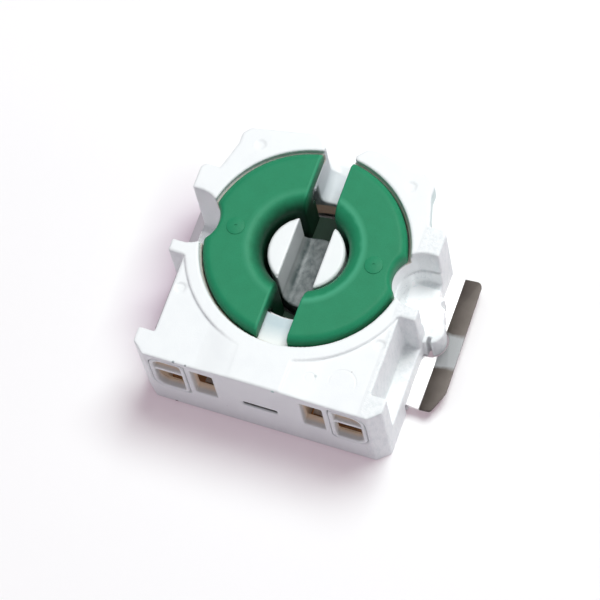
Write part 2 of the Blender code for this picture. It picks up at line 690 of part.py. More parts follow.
def wing_section(side):
    """Section in XZ of one wing, from the plate outwards, as a folded sheet."""
    inner = BASE_HALF_WIDTH - SKIRT_WALL - FIT_GAP * 2
    knee = BASE_HALF_WIDTH - FIT_GAP
    middle = [(inner, PLATE_Z), (knee, PLATE_Z), (WING_REACH, PLATE_Z - WING_DROP)]
    if side > 0:
        middle.append((WING_REACH + LIP_WIDTH, PLATE_Z - WING_DROP + LIP_RISE))
    low = [Vector(point) for point in middle]
    high = [point + Vector((0.0, PLATE_THICKNESS)) for point in low]
    outline = low + list(reversed(high))
    return outline if side > 0 else flipped(outline)


def lip_corner_cutters():
    """Cutters that take the two outer corners off the lip."""
    reach = WING_REACH + LIP_WIDTH
    cutters = []
    for end, turn in ((WING_FAR_Y, 1), (WING_NEAR_Y, -1)):
        outline = [(reach - LIP_CORNER_X, end + turn * CUT_MARGIN),
                   (reach - LIP_CORNER_X, end),
                   (reach, end - turn * LIP_CORNER_Y),
                   (reach + CUT_MARGIN, end - turn * LIP_CORNER_Y),
                   (reach + CUT_MARGIN, end + turn * CUT_MARGIN)]
        cutters.append(prism("corner", outline, -CUT_MARGIN, PLATE_TOP + CUT_MARGIN))
    return cutters


def make_mounting_plate():
    """Sheet steel plate with a wing on each side, the right one with a lip."""
    plate = prism("mounting_plate", back_outline(FIT_GAP), PLATE_Z, PLATE_TOP, "bright_steel")
    for side in (1, -1):
        wing = stood_up(prism("wing", wing_section(side), WING_NEAR_Y, WING_FAR_Y))
        combine(plate, [wing], "UNION")
    cutters = lip_corner_cutters()
    notch = PEG_RADIUS + FIT_GAP
    high = PLATE_TOP + CUT_MARGIN
    cutters.append(disc("peg_notch", (PEG_CENTRE, PEG_Y), notch, 0.0, high, MIDDLE_SIDES))
    cutters.append(disc("spigot_hole", (0.0, 0.0), SPIGOT_RADIUS + FIT_GAP, 0.0, high,
                        MIDDLE_SIDES // 2))
    cutters += rivet_holes(0.0, high)
    combine(plate, cutters, "DIFFERENCE")
    return smooth(plate, FOLD_ANGLE)


def make_insulating_plate():
    """Sheet between the live parts and the steel plate, inside the housing."""
    outer = CAGE_OUTER - FIT_GAP
    inner = CAGE_INNER + FIT_GAP
    side = CHAMBER_HALF_WIDTH - FIT_GAP
    near = CAGE_NEAR_Y + FIT_GAP
    step_y = CAGE_FAR_Y - FIT_GAP
    right = [(side, BLADE_END, 0.0), (side, step_y, 0.0), (outer, step_y, 0.0),
             (outer, near, 0.0), (inner, near, 0.0), (inner, step_y + FIT_GAP, 0.0)]
    film = prism("insulating_plate", rounded(mirrored(right)), SEAT_Z, FILM_TOP, "grey_film")
    round_part = disc("round_part", (0.0, 0.0), CHAMBER_RADIUS - FIT_GAP, SEAT_Z, FILM_TOP,
                      ROUND_SIDES)
    combine(film, [round_part], "UNION")
    hole = disc("spigot_hole", (0.0, 0.0), SPIGOT_RADIUS + FIT_GAP, 0.0, INSIDE_Z,
                MIDDLE_SIDES // 2)
    return combine(film, [hole], "DIFFERENCE")


def make_wire_funnel():
    """Arched insert of the right outer wire entry, with its cross bar."""
    front = -TERMINAL_REACH
    back = CAGE_NEAR_Y - FIT_GAP
    funnel = stood_up(prism("wire_funnel_right", entry_outline(INSERT_WALL), front, back,
                            "white_plastic"))
    hole = stood_up(prism("hole", entry_outline(0.0), front - CUT_MARGIN, back + CUT_MARGIN))
    bar_z = ENTRY_TOP - ENTRY_BAR_BELOW_TOP
    bar = box("bar", (ENTRY_INNER - CUT_MARGIN, front - CUT_MARGIN * 2, bar_z - ENTRY_BAR),
              (ENTRY_OUTER + CUT_MARGIN, back + CUT_MARGIN * 2, bar_z))
    combine(hole, [bar], "DIFFERENCE")
    combine(funnel, [hole], "DIFFERENCE")
    return smooth(funnel)


def make_terminal_bar():
    """Right bronze bar: a folded strip that the wires are pressed against."""
    low = INSIDE_Z
    high = LEDGE_UNDER_Z - FIT_GAP
    near = CAGE_NEAR_Y + FIT_GAP
    far = CAGE_FAR_Y - FIT_GAP * 2
    wall = BAR_THICKNESS
    section = [(near, low), (far, low), (far, high), (near, high), (near, high - wall),
               (far - wall, high - wall), (far - wall, low + wall), (near, low + wall)]
    start = CAGE_INNER + FIT_GAP
    return laid_over(prism("terminal_bar_right", section, start, CAGE_OUTER - FIT_GAP,
                           "bronze"))


def make_clamp_spring(name, centre_x):
    """Push-in leaf spring behind one wire entry: a foot and a leaf that leans back."""
    low = INSIDE_Z + BAR_THICKNESS + FIT_GAP
    near = CAGE_NEAR_Y + FIT_GAP * 2
    far = CAGE_FAR_Y - FIT_GAP * 3 - BAR_THICKNESS
    sheet = CLAMP_THICKNESS
    tip_y = far - CLAMP_BACKSET
    tip_z = LEDGE_UNDER_Z - FIT_GAP - BAR_THICKNESS - CLAMP_BELOW_BAR
    section = [(near, low), (far, low), (far, low + sheet), (tip_y + sheet, tip_z),
               (tip_y, tip_z), (far - CLAMP_ROOT, low + sheet), (near, low + sheet)]
    half = CLAMP_WIDTH / 2
    return laid_over(prism(name, section, centre_x - half, centre_x + half, "spring_steel"))


def make_contact_spring():
    """Right contact: an upright leaf from the terminal bar past the rotor's barrel."""
    start = CAGE_FAR_Y - FIT_GAP + BLADE_THICKNESS
    rest = CHAMBER_HALF_WIDTH - FIT_GAP - BLADE_THICKNESS
    bow = rest - BARREL_RADIUS - FIT_GAP
    straight = BLADE_THICKNESS * 2
    bend = BLADE_THICKNESS
    line = [Vector((rest - BLADE_FOOT, start)), Vector((rest - bend, start))]
    length = -start - bend
    line += [Vector((rest, start + bend))]
    shares = [step / BLADE_STEPS for step in range(BLADE_STEPS + 1)]
    line += [Vector((rest - bow * (1 - math.cos(math.pi * share)) / 2,
                     start + bend + straight + (length - straight) * share))
             for share in shares]
    line += [Vector((rest - bow * (1 + math.cos(math.pi * share)) / 2, BLADE_END * share))
             for share in shares[1:]]
    back = []
    for index, point in enumerate(line):
        before = line[max(index - 1, 0)]
        after = line[min(index + 1, len(line) - 1)]
        along = (after - before).normalized()
        back.append(point + Vector((along.y, -along.x)) * BLADE_THICKNESS)
    outline = line + list(reversed(back))
    return smooth(prism("contact_spring_right", outline, INSIDE_Z, BLADE_TOP, "bronze"))


def make_rivet(name, centre):
    """Rivet that holds the cover and the steel plate to the housing."""
    head = disc(name, centre, RIVET_HEAD_RADIUS, 0.0, RIVET_HEAD, finish="bright_steel")
    shank = disc("shank", centre, RIVET_RADIUS, RIVET_HEAD / 2, RIVET_HEAD + RIVET_LENGTH)
    combine(head, [shank], "UNION")
    return smooth(head)


def hang_on(name, pieces):
    """Parent pieces to a new empty at the origin, which lies on the rotor's axis."""
    empty = bpy.data.objects.new(name, None)
    bpy.context.collection.objects.link(empty)
    for piece in pieces:
        piece.parent = empty


def main():
    """Build the whole holder."""
    remove_old_objects()
    hang_on("rotor_axis", [make_rotor(), make_retaining_ring()])
    fixed = [make_front_housing(), make_centre_guide(), make_back_cover(),
             make_mounting_plate(), make_insulating_plate()]
    for right in (make_wire_funnel(), make_terminal_bar(), make_contact_spring()):
        fixed += [right, mirror_image(right.name.replace("_right", "_left"), right)]
    outer_x = CAGE_OUTER - FIT_GAP * 2 - CLAMP_WIDTH / 2
    inner_x = (SQUARE_INNER + SQUARE_OUTER) / 2
    for place, centre_x in (("outer", outer_x), ("inner", inner_x)):
        right = make_clamp_spring("clamp_spring_right_" + place, centre_x)
        fixed += [right, mirror_image("clamp_spring_left_" + place, right)]
    for place, centre in rivet_places():
        fixed.append(make_rivet("cover_rivet_" + place, centre))
    hang_on("holder_origin", fixed)


main()
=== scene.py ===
"""Looks of a rotary lamp holder for fluorescent tubes, around its packed assembly.

Units are metres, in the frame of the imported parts: +Z out of the face that the lamp plugs
into, +Y towards the insertion mouth, the wires at the -Y end, the origin on the rotor's axis.
"""

import logging
import math
from dataclasses import dataclass
from enum import Enum
from typing import Sequence, TypeVar

import bmesh
import bpy
import numpy as np
from mathutils import Matrix, Vector


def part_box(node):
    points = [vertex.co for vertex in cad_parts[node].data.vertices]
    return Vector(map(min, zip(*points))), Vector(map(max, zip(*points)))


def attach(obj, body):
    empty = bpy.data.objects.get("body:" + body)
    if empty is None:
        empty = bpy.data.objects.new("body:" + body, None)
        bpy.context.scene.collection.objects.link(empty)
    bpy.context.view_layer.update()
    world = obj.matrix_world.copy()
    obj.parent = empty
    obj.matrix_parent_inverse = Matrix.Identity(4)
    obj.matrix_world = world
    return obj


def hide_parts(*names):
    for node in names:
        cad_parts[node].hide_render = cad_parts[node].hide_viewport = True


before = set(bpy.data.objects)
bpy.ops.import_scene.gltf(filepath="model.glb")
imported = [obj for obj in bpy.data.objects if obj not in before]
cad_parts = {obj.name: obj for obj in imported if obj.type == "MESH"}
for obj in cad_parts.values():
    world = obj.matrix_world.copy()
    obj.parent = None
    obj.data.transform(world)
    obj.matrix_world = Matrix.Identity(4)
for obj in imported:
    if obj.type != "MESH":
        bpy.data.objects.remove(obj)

MM = 0.001
TAU = 2.0 * math.pi
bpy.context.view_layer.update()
UNSTRETCHED = (1.0, 1.0, 1.0)
TINY = 1e-12
MERGE_DISTANCE = 1e-6
FLAT_ANGLE = math.radians(0.6)
Pair = tuple[float, float]
Corner = tuple[float, float, float]
Colour = tuple[float, float, float]
Length = TypeVar("Length")
log = logging.getLogger("lamp_holder")


def mm(value: Length) -> Length:
    """Turn millimetres into metres.

    Args:
        value: a number, or a tuple of numbers or of such tuples.
    Returns:
        The same in metres.
    """
    if isinstance(value, tuple):
        return tuple(mm(part) for part in value)
    return value * MM


class Body(Enum):
    """The two bodies that the pieces ride on."""

    HOUSING = "housing"
    ROTOR = "rotor"


class Side(Enum):
    """Side of the holder, as the sign of X."""

    LEFT = -1
    RIGHT = 1


# Surfaces worked out as arrays


def unit(vectors: np.ndarray) -> np.ndarray:
    """Return vectors of length one.

    Args:
        vectors: array whose last axis holds the vectors.
    Returns:
        The same directions with length one.
    """
    return vectors / np.maximum(np.linalg.norm(vectors, axis=-1, keepdims=True), TINY)


def rounded_outline(corners: Sequence[Corner], arc_step: float = math.radians(9)) -> np.ndarray:
    """Turn corners into a closed outline: each corner gives an arc that touches both its sides.

    The arc's touching points lie radius / tan(half the corner's angle) from the corner, but
    take no more than 0.48 of the shorter side.
    Args:
        corners: x, y and radius of each corner, in turning order.
        arc_step: turn between two points of an arc.
    Returns:
        Array of x, y points.
    """
    points = np.array([corner[:2] for corner in corners], float)
    parts = []
    for index, (x, y, radius) in enumerate(corners):
        here = np.array((x, y))
        before = points[index - 1] - here
        after = points[(index + 1) % len(points)] - here
        if radius <= 0.0:
            parts.append(here[None])
            continue
        back, ahead = unit(before), unit(after)
        half = math.acos(float(np.clip(back @ ahead, -1.0, 1.0))) / 2
        limit = 0.48 * min(np.linalg.norm(before), np.linalg.norm(after))
        reach = min(radius / math.tan(half), limit)
        arc_radius = reach * math.tan(half)
        centre = here + unit(back + ahead) * arc_radius / math.sin(half)
        first = here + back * reach - centre
        last = here + ahead * reach - centre
        start = math.atan2(first[1], first[0])
        turn = (math.atan2(last[1], last[0]) - start + math.pi) % TAU - math.pi
        angles = start + turn * np.linspace(0.0, 1.0, 2 + int(abs(turn) / arc_step))
        parts.append(centre + arc_radius * np.column_stack((np.cos(angles), np.sin(angles))))
    return np.concatenate(parts)


def circle(centre: Pair, radius: float, sides: int = 48) -> np.ndarray:
    """Return a circle as a closed outline.

    Args:
        centre: middle of the circle.
        radius: its radius.
        sides: number of points.
    Returns:
        Array of x, y points, counter-clockwise.
    """
    angles = TAU * np.arange(sides) / sides
    return np.column_stack((centre[0] + radius * np.cos(angles),
                            centre[1] + radius * np.sin(angles)))


def inset(outline: np.ndarray, by: float) -> np.ndarray:
    """Move a closed counter-clockwise outline inwards.

    Each point moves along the mean of its two sides' inward normals, by the inset over the
    cosine of half the turn there, which counts as 0.3 or more.
    Args:
        outline: x, y points.
        by: inset; a negative value makes the outline larger.
    Returns:
        The moved points.
    """
    ahead = unit(np.roll(outline, -1, axis=0) - outline)
    normal = np.column_stack((-ahead[:, 1], ahead[:, 0]))
    mean = unit(normal + np.roll(normal, 1, axis=0))
    stretch = 1.0 / np.maximum(np.sum(mean * normal, axis=1, keepdims=True), 0.3)
    return outline + by * mean * stretch


def stack(outline: np.ndarray, profile: Sequence[Pair]) -> np.ndarray:
    """Carry an outline up: at each height the outline moved in by its inset.

    Args:
        outline: closed counter-clockwise outline.
        profile: inset and height of each ring, from low to high.
    Returns:
        Grid of rings by points by 3.
    """
    rings = np.zeros((len(profile), len(outline), 3))
    for row, (by, height) in enumerate(profile):
        rings[row, :, :2] = inset(outline, by)
        rings[row, :, 2] = height
    return rings


def soft_ends(low: float, high: float, low_round: float, high_round: float,
              steps: int = 4) -> list[Pair]:
    """Profile of a slab whose two rims are quarter rounds: inset r(1 - sin a), height r cos a.

    Args:
        low: lowest height.
        high: highest height.
        low_round: radius of the lower rim; negative flares it outwards.
        high_round: radius of the upper rim; negative flares it outwards.
        steps: points in each quarter round.
    Returns:
        Inset and height pairs from low to high.
    """
    angles = np.linspace(0.0, math.pi / 2, steps)
    lower = [(low_round * (1 - math.sin(a)), low + abs(low_round) * (1 - math.cos(a)))
             for a in angles]
    upper = [(high_round * (1 - math.sin(a)), high - abs(high_round) * (1 - math.cos(a)))
             for a in angles[::-1]]
    return lower + upper


def quarter(centre: Pair, radius: float, start: float, steps: int = 10) -> np.ndarray:
    """Points of a quarter circle, from a start angle in degrees onwards.

    Args:
        centre: centre of the circle in its plane.
        radius: its radius.
        start: first angle in degrees.
        steps: number of points.
    Returns:
        Array of points.
    """
    angles = np.radians(np.linspace(start, start + 90.0, steps))
    return np.column_stack((centre[0] + radius * np.cos(angles),
                            centre[1] + radius * np.sin(angles)))


def bent_path(corners: Sequence[Corner]) -> np.ndarray:
    """Open line through corners, with an arc of its own radius at each inner corner.

    Args:
        corners: x, y and radius; the two ends have radius 0.
    Returns:
        Array of x, y points from the first corner to the last.
    """
    line = rounded_outline(corners)
    first = int(np.argmin(np.linalg.norm(line - np.array(corners[0][:2]), axis=1)))
    return np.roll(line, -first, axis=0)


def turned(profile: np.ndarray, sides: int) -> np.ndarray:
    """Turn a closed profile about Z: x = r cos a, y = r sin a, z kept.

    Args:
        profile: closed line of radius, height points, counter-clockwise.
        sides: number of turns of the profile.
    Returns:
        Grid of sides by profile points by 3, closed both ways.
    """
    angles = TAU * (np.arange(sides)[:, None] + 0.5) / sides
    radius, height = profile[:, 0], profile[:, 1]
    return np.stack((radius * np.cos(angles), radius * np.sin(angles),
                     np.broadcast_to(height, (sides, len(profile)))), axis=-1)


def solid(name: str, grid: np.ndarray, ring: bool = False) -> bpy.types.Object:
    """Make a closed mesh from a grid whose rows are closed rings.

    Rows follow each other by quads; the two end rows are filled, or joined to each other.
    Args:
        name: name of the object.
        grid: rows by points by 3.
        ring: True joins the last row to the first.
    Returns:
        The object, with its faces pointing out.
    """
    rows, count = grid.shape[:2]
    index = np.arange(rows * count).reshape(rows, count)
    if ring:
        low, high = index, np.roll(index, -1, axis=0)
    else:
        low, high = index[:-1], index[1:]
    quads = np.stack((low, np.roll(low, -1, axis=1), np.roll(high, -1, axis=1), high), axis=-1)
    faces = quads.reshape(-1, 4).tolist()
    if not ring:
        faces += [index[0, ::-1].tolist(), index[-1].tolist()]
    mesh = bpy.data.meshes.new(name)
    mesh.from_pydata(grid.reshape(-1, 3).tolist(), [], faces)
    return linked(name, tidied(mesh))


def tidied(mesh: bpy.types.Mesh, flatten: bool = False) -> bpy.types.Mesh:
    """Merge doubled points, turn the faces out and, if asked, melt flat triangles together.

    Args:
        mesh: mesh to clean.
        flatten: True dissolves the edges between faces in one plane.
    Returns:
        The same mesh.
    """
    shape = bmesh.new()
    shape.from_mesh(mesh)
    bmesh.ops.remove_doubles(shape, verts=shape.verts, dist=MERGE_DISTANCE)
    if flatten:
        bmesh.ops.dissolve_limit(shape, angle_limit=FLAT_ANGLE, verts=shape.verts,
                                 edges=shape.edges)
    bmesh.ops.recalc_face_normals(shape, faces=shape.faces)
    shape.to_mesh(mesh)
    shape.free()
    return mesh


def linked(name: str, mesh: bpy.types.Mesh) -> bpy.types.Object:
    """Link a mesh to the scene as an object.

    Args:
        name: name of the object.
        mesh: its mesh.
    Returns:
        The object at the origin.
    """
    piece = bpy.data.objects.new(name, mesh)
    bpy.context.collection.objects.link(piece)
    return piece


def combine(piece: bpy.types.Object, others: Sequence[bpy.types.Object],
            operation: str = "DIFFERENCE") -> bpy.types.Object:
    """Cut or join a piece with other closed solids, which are used up.

    Args:
        piece: piece that stays.
        others: the cutters, or the solids that are added.
        operation: Blender's name of the operation.
    Returns:
        The piece.
    """
    for other in others:
        step = piece.modifiers.new(operation.title(), "BOOLEAN")
        step.operation = operation
        step.solver = "EXACT"
        step.object = other
        evaluated = piece.evaluated_get(bpy.context.evaluated_depsgraph_get())
        done = bpy.data.meshes.new_from_object(evaluated)
        piece.modifiers.clear()
        piece.data = done
        bpy.data.objects.remove(other, do_unlink=True)
    return piece


def softened(piece: bpy.types.Object, width: float, segments: int = 3,
             angle: float = 30.0) -> bpy.types.Object:
    """Round the sharp edges of a piece with a live bevel.

    Args:
        piece: piece to round.
        width: width of the rounding.
        segments: faces across it.
        angle: least turn, in degrees, that counts as an edge.
    Returns:
        The piece.
    """
    shape = bmesh.new()
    shape.from_mesh(piece.data)
    weight = shape.edges.layers.float.new("bevel_weight_edge")
    for edge in shape.edges:
        edge[weight] = float(edge.calc_face_angle(0.0) > math.radians(angle))
    shape.to_mesh(piece.data)
    shape.free()
    bevel = piece.modifiers.new("Bevel", "BEVEL")
    bevel.width = width
    bevel.segments = segments
    bevel.limit_method = "WEIGHT"
    bevel.use_clamp_overlap = False
    bevel.miter_outer = "MITER_ARC"
    bevel.harden_normals = True
    return piece


def shaded(piece: bpy.types.Object, angle: float = 32.0) -> bpy.types.Object:
    """Shade a piece smooth, with its sharp edges kept.

    Args:
        piece: piece to shade.
        angle: least turn, in degrees, of an edge that stays sharp.
    Returns:
        The piece.
    """
    piece.data.shade_smooth()
    piece.data.set_sharp_from_angle(angle=math.radians(angle))
    return piece


def mirror_image(name: str, piece: bpy.types.Object) -> bpy.types.Object:
    """Make the mirror image in X of a piece.

    Args:
        name: name of the new object.
        piece: piece to mirror.
    Returns:
        The new object, with its faces pointing out.
    """
    mesh = piece.data.copy()
    mesh.transform(Matrix.Scale(-1.0, 4, Vector((1.0, 0.0, 0.0))))
    mesh.flip_normals()
    return linked(name, mesh)


# Mouldings worked out as distances on a grid


def outline_distance(outline: np.ndarray, across: np.ndarray, up: np.ndarray) -> np.ndarray:
    """Signed distance to a closed outline: below 0 inside it.

    The distance is the least over all its sides, each met at the point clamp(t, 0, 1) along
    it; a point is inside when a ray towards +across crosses an odd number of sides.
    Args:
        outline: x, y points.
        across: first coordinate of the places, of any shape that fits the second.
        up: second coordinate.
    Returns:
        The distance at each place.
    """
    across, up = np.broadcast_arrays(across[..., None], up[..., None])
    start = outline
    side = np.roll(outline, -1, axis=0) - start
    from_x, from_y = across - start[:, 0], up - start[:, 1]
    share = np.clip((from_x * side[:, 0] + from_y * side[:, 1]) / np.sum(side ** 2, axis=1), 0, 1)
    least = np.min((from_x - share * side[:, 0]) ** 2 + (from_y - share * side[:, 1]) ** 2, axis=-1)
    spans = (from_y < 0.0) != (from_y < side[:, 1])
    rise = np.where(side[:, 1] == 0.0, TINY, side[:, 1])
    crossed = spans & (from_x < from_y * side[:, 0] / rise)
    inside = np.sum(crossed, axis=-1) % 2 == 1
    return np.where(inside, -1.0, 1.0) * np.sqrt(least)


def both(first: np.ndarray, second: np.ndarray, radius: float = 0.0) -> np.ndarray:
    """Distance to what lies in two shapes, with a round where their surfaces cross.

    With a round of radius r it is min(max(a, b), -r) + |(max(a + r, 0), max(b + r, 0))|.
    Args:
        first: distance to the first shape.
        second: distance to the second shape.
        radius: radius of the round.
    Returns:
        The distance to their common part.
    """
    if radius <= 0.0:
        return np.maximum(first, second)
    corner = np.hypot(np.maximum(first + radius, 0.0), np.maximum(second + radius, 0.0))
    return np.minimum(np.maximum(first, second), -radius) + corner


def between(value: np.ndarray, low: float, high: float) -> np.ndarray:
    """Signed distance to the slab between two values."""
    return np.maximum(low - value, value - high)


class Clay:
    """A moulding as a signed distance on a grid of points: below 0 inside, above 0 outside."""

    # Grid steps of air round the box; not a whole number, so that no plane meets a flat face
    MARGIN = 2.37

    def __init__(self, low: Corner, high: Corner, step: float) -> None:
        """Lay the grid round a box; its planes stay off the box's own faces.

        Args:
            low: lowest corner of the box.
            high: highest corner of the box.
            step: distance between grid points.
        """
        self.step = step
        self.low = np.array(low) - self.MARGIN * step
        counts = np.ceil((np.array(high) - self.low) / step + self.MARGIN).astype(int)
        lines = [start + step * np.arange(n) for start, n in zip(self.low, counts)]
        self.x = lines[0].astype(np.float32)[:, None, None]
        self.y = lines[1].astype(np.float32)[None, :, None]
        self.z = lines[2].astype(np.float32)[None, None, :]
        self.side = np.abs(self.x)
        self.radius = np.hypot(self.x, self.y)
        self.field = np.full(tuple(counts), -1.0, np.float32)

    def upright(self, outline: np.ndarray, mirrored: bool = False) -> np.ndarray:
        """Distance to an outline in XY at every height.

        Args:
            outline: x, y points.
            mirrored: True makes it the same at -X.
        Returns:
            The distance on the grid.
        """
        across = (self.side if mirrored else self.x)[:, :, 0]
        return outline_distance(outline, across, self.y[:, :, 0])[:, :, None].astype(np.float32)

    def along_y(self, outline: np.ndarray) -> np.ndarray:
        """Distance to an outline in XZ, on both sides, at every Y."""
        plane = outline_distance(outline, self.side[:, 0, :], self.z[0, :, :])
        return plane[:, None, :].astype(np.float32)

    def round_post(self, centre: Pair, radius: float, mirrored: bool = False) -> np.ndarray:
        """Distance to an upright cylinder, or to one on each side."""
        across = self.side if mirrored else self.x
        return np.hypot(across - centre[0], self.y - centre[1]) - radius

    def cut(self, shape: np.ndarray, radius: float = 0.0) -> None:
        """Take a shape away and round the edge that it leaves."""
        self.field = both(self.field, -shape, radius)

    def keep(self, shape: np.ndarray, radius: float = 0.0) -> None:
        """Keep only what lies in a shape."""
        self.field = both(self.field, shape, radius)

    def add(self, shape: np.ndarray, radius: float = 0.0) -> None:
        """Add a shape, with a hollow round where it meets the rest."""
        self.field = -both(-self.field, -shape, radius)

    def surface(self, name: str) -> bpy.types.Object:
        """Mesh of the places where the distance is 0.

        Each grid cell that the surface passes has one vertex, the mean of the points where
        the surface crosses the cell's twelve edges, at a / (a - b) between distances a and b.
        Each grid edge that it crosses gives a face between the four cells round that edge.
        Args:
            name: name of the object.
        Returns:
            The closed piece, with its flat stretches melted to single faces.
        """
        inside = self.field < 0.0
        size = np.array(inside.shape)
        corners = np.array([(i, j, k) for i in (0, 1) for j in (0, 1) for k in (0, 1)])
        count = sum(inside[i:size[0] - 1 + i, j:size[1] - 1 + j, k:size[2] - 1 + k].astype(np.int8)
                    for i, j, k in corners)
        cells = np.argwhere((count > 0) & (count < 8))
        values = np.stack([self.field[tuple((cells + corner).T)] for corner in corners], axis=1)
        total = np.zeros((len(cells), 3))
        number = np.zeros((len(cells), 1))
        for first, last in [(a, b) for a in range(8) for b in range(a + 1, 8)
                            if np.abs(corners[a] - corners[b]).sum() == 1]:
            start, end = values[:, first], values[:, last]
            crossed = ((start < 0.0) != (end < 0.0))[:, None]
            share = (start / np.where(start == end, 1.0, start - end))[:, None]
            place = corners[first] + share * (corners[last] - corners[first])
            total += np.where(crossed, place, 0.0)
            number += crossed
        points = self.low + self.step * (cells + total / number)
        ids = np.full(tuple(size), -1, np.int32)
        ids[tuple(cells.T)] = np.arange(len(cells))
        faces = []
        for axis in range(3):
            one, two = (axis + 1) % 3, (axis + 2) % 3
            ahead = np.diff(inside.astype(np.int8), axis=axis)
            for sign in (-1, 1):
                edge = np.argwhere(ahead == sign)
                ring = [edge - one_back * np.eye(3, dtype=int)[one]
                        - two_back * np.eye(3, dtype=int)[two]
                        for one_back, two_back in ((1, 1), (0, 1), (0, 0), (1, 0))[::-sign]]
                faces.append(np.stack([ids[tuple(cell.T)] for cell in ring], axis=1))
        mesh = bpy.data.meshes.new(name)
        mesh.from_pydata(points.tolist(), [], np.concatenate(faces).tolist())
        piece = shaded(linked(name, tidied(mesh, flatten=True)), 180.0)
        piece.modifiers.new("Weighted Normal", "WEIGHTED_NORMAL").weight = 100
        return piece


# Shader maths and node trees


@dataclass(frozen=True)
class Shade:
    """Box with another tone, mostly painted shade, soft margins and a painted glow for light
    through it.
    """

    low: Corner
    high: Corner
    soft: Corner
    tone: Colour
    glow: Colour = (0.0, 0.0, 0.0)
    around: bool = False


@dataclass(frozen=True)
class Spot:
    """Small stain or nick at a place on the surface."""

    place: Corner
    radius: float
    tone: Colour


class Number:
    """A number in a node tree, so that shader maths reads as plain expressions."""

    def __init__(self, tree: bpy.types.NodeTree, socket: bpy.types.NodeSocket) -> None:
        """Wrap an output socket."""
        self.tree = tree
        self.socket = socket

    def _maths(self, operation: str, first: "Number | float",
               second: "Number | float" = 0.0) -> "Number":
        """Add one Math node.

        Args:
            operation: name of the operation.
            first: first value.
            second: second value.
        Returns:
            The result as a number.
        """
        node = self.tree.nodes.new("ShaderNodeMath")
        node.operation = operation
        for socket, value in zip(node.inputs, (first, second)):
            if isinstance(value, Number):
                self.tree.links.new(value.socket, socket)
            else:
                socket.default_value = value
        return Number(self.tree, node.outputs[0])

    def __add__(self, other: "Number | float") -> "Number":
        """Sum."""
        return self._maths("ADD", self, other)

    def __radd__(self, other: float) -> "Number":
        """Sum with a plain number first."""
        return self._maths("ADD", other, self)

    def __sub__(self, other: "Number | float") -> "Number":
        """Difference."""
        return self._maths("SUBTRACT", self, other)

    def __rsub__(self, other: float) -> "Number":
        """Difference with a plain number first."""
        return self._maths("SUBTRACT", other, self)

    def __mul__(self, other: "Number | float") -> "Number":
        """Product."""
        return self._maths("MULTIPLY", self, other)

    def __rmul__(self, other: float) -> "Number":
        """Product with a plain number first."""
        return self._maths("MULTIPLY", other, self)

    def __truediv__(self, other: "Number | float") -> "Number":
        """Quotient."""
        return self._maths("DIVIDE", self, other)

    def __pow__(self, other: float) -> "Number":
        """Power."""
        return self._maths("POWER", self, other)

    def size(self) -> "Number":
        """Value without its sign."""
        return self._maths("ABSOLUTE", self)

    def least(self, other: "Number | float") -> "Number":
        """Smaller of two values."""
        return self._maths("MINIMUM", self, other)

    def most(self, other: "Number | float") -> "Number":
        """Larger of two values."""
        return self._maths("MAXIMUM", self, other)

    def above(self, start: float, end: float) -> "Number":
        """Ramp from 0 at one value to 1 at another, held between the two."""
        return ((self - start) / (end - start)).most(0.0).least(1.0)


class Nodes:
    """A node tree under construction, with one method that adds any node."""

    def __init__(self, tree: bpy.types.NodeTree) -> None:
        """Take the tree that the nodes go into."""
        self.tree = tree

    def node(self, kind: str, settings: dict[str, object],
             inputs: dict[str | int, object]) -> bpy.types.Node:
        """Add a node of any type.

        Args:
            kind: Blender's name of the node.
            settings: attributes of the node, set first.
            inputs: value or link of each socket, by its name or number.
        Returns:
            The node.
        """
        node = self.tree.nodes.new(kind)
        for name, value in settings.items():
            setattr(node, name, value)
        for name, value in inputs.items():
            self.feed(node.inputs[name], value)
        return node

    def feed(self, socket: bpy.types.NodeSocket, value: object) -> None:
        """Set or link one socket.

        Args:
            socket: socket to feed.
            value: number, colour, wrapped number or output socket.
        """
        if isinstance(value, Number):
            self.tree.links.new(value.socket, socket)
        elif isinstance(value, bpy.types.NodeSocket):
            self.tree.links.new(value, socket)
        else:
            socket.default_value = (*value, 1.0) if socket.type == "RGBA" else value

    def mixed(self, factor: Number | float, first: object, second: object) -> bpy.types.NodeSocket:
        """Mix two colours.

        Args:
            factor: share of the second colour.
            first: colour or colour socket.
            second: colour or colour socket.
        Returns:
            The mixed colour.
        """
        mix = self.node("ShaderNodeMix", {"data_type": "RGBA"}, {0: factor, 6: first, 7: second})
        return mix.outputs[2]

    def ray(self, kind: str) -> Number:
        """Whether a ray is of a kind, such as Camera or Glossy: 1 or 0."""
        paths = self.node("ShaderNodeLightPath", {}, {})
        return Number(self.tree, paths.outputs[f"Is {kind} Ray"])


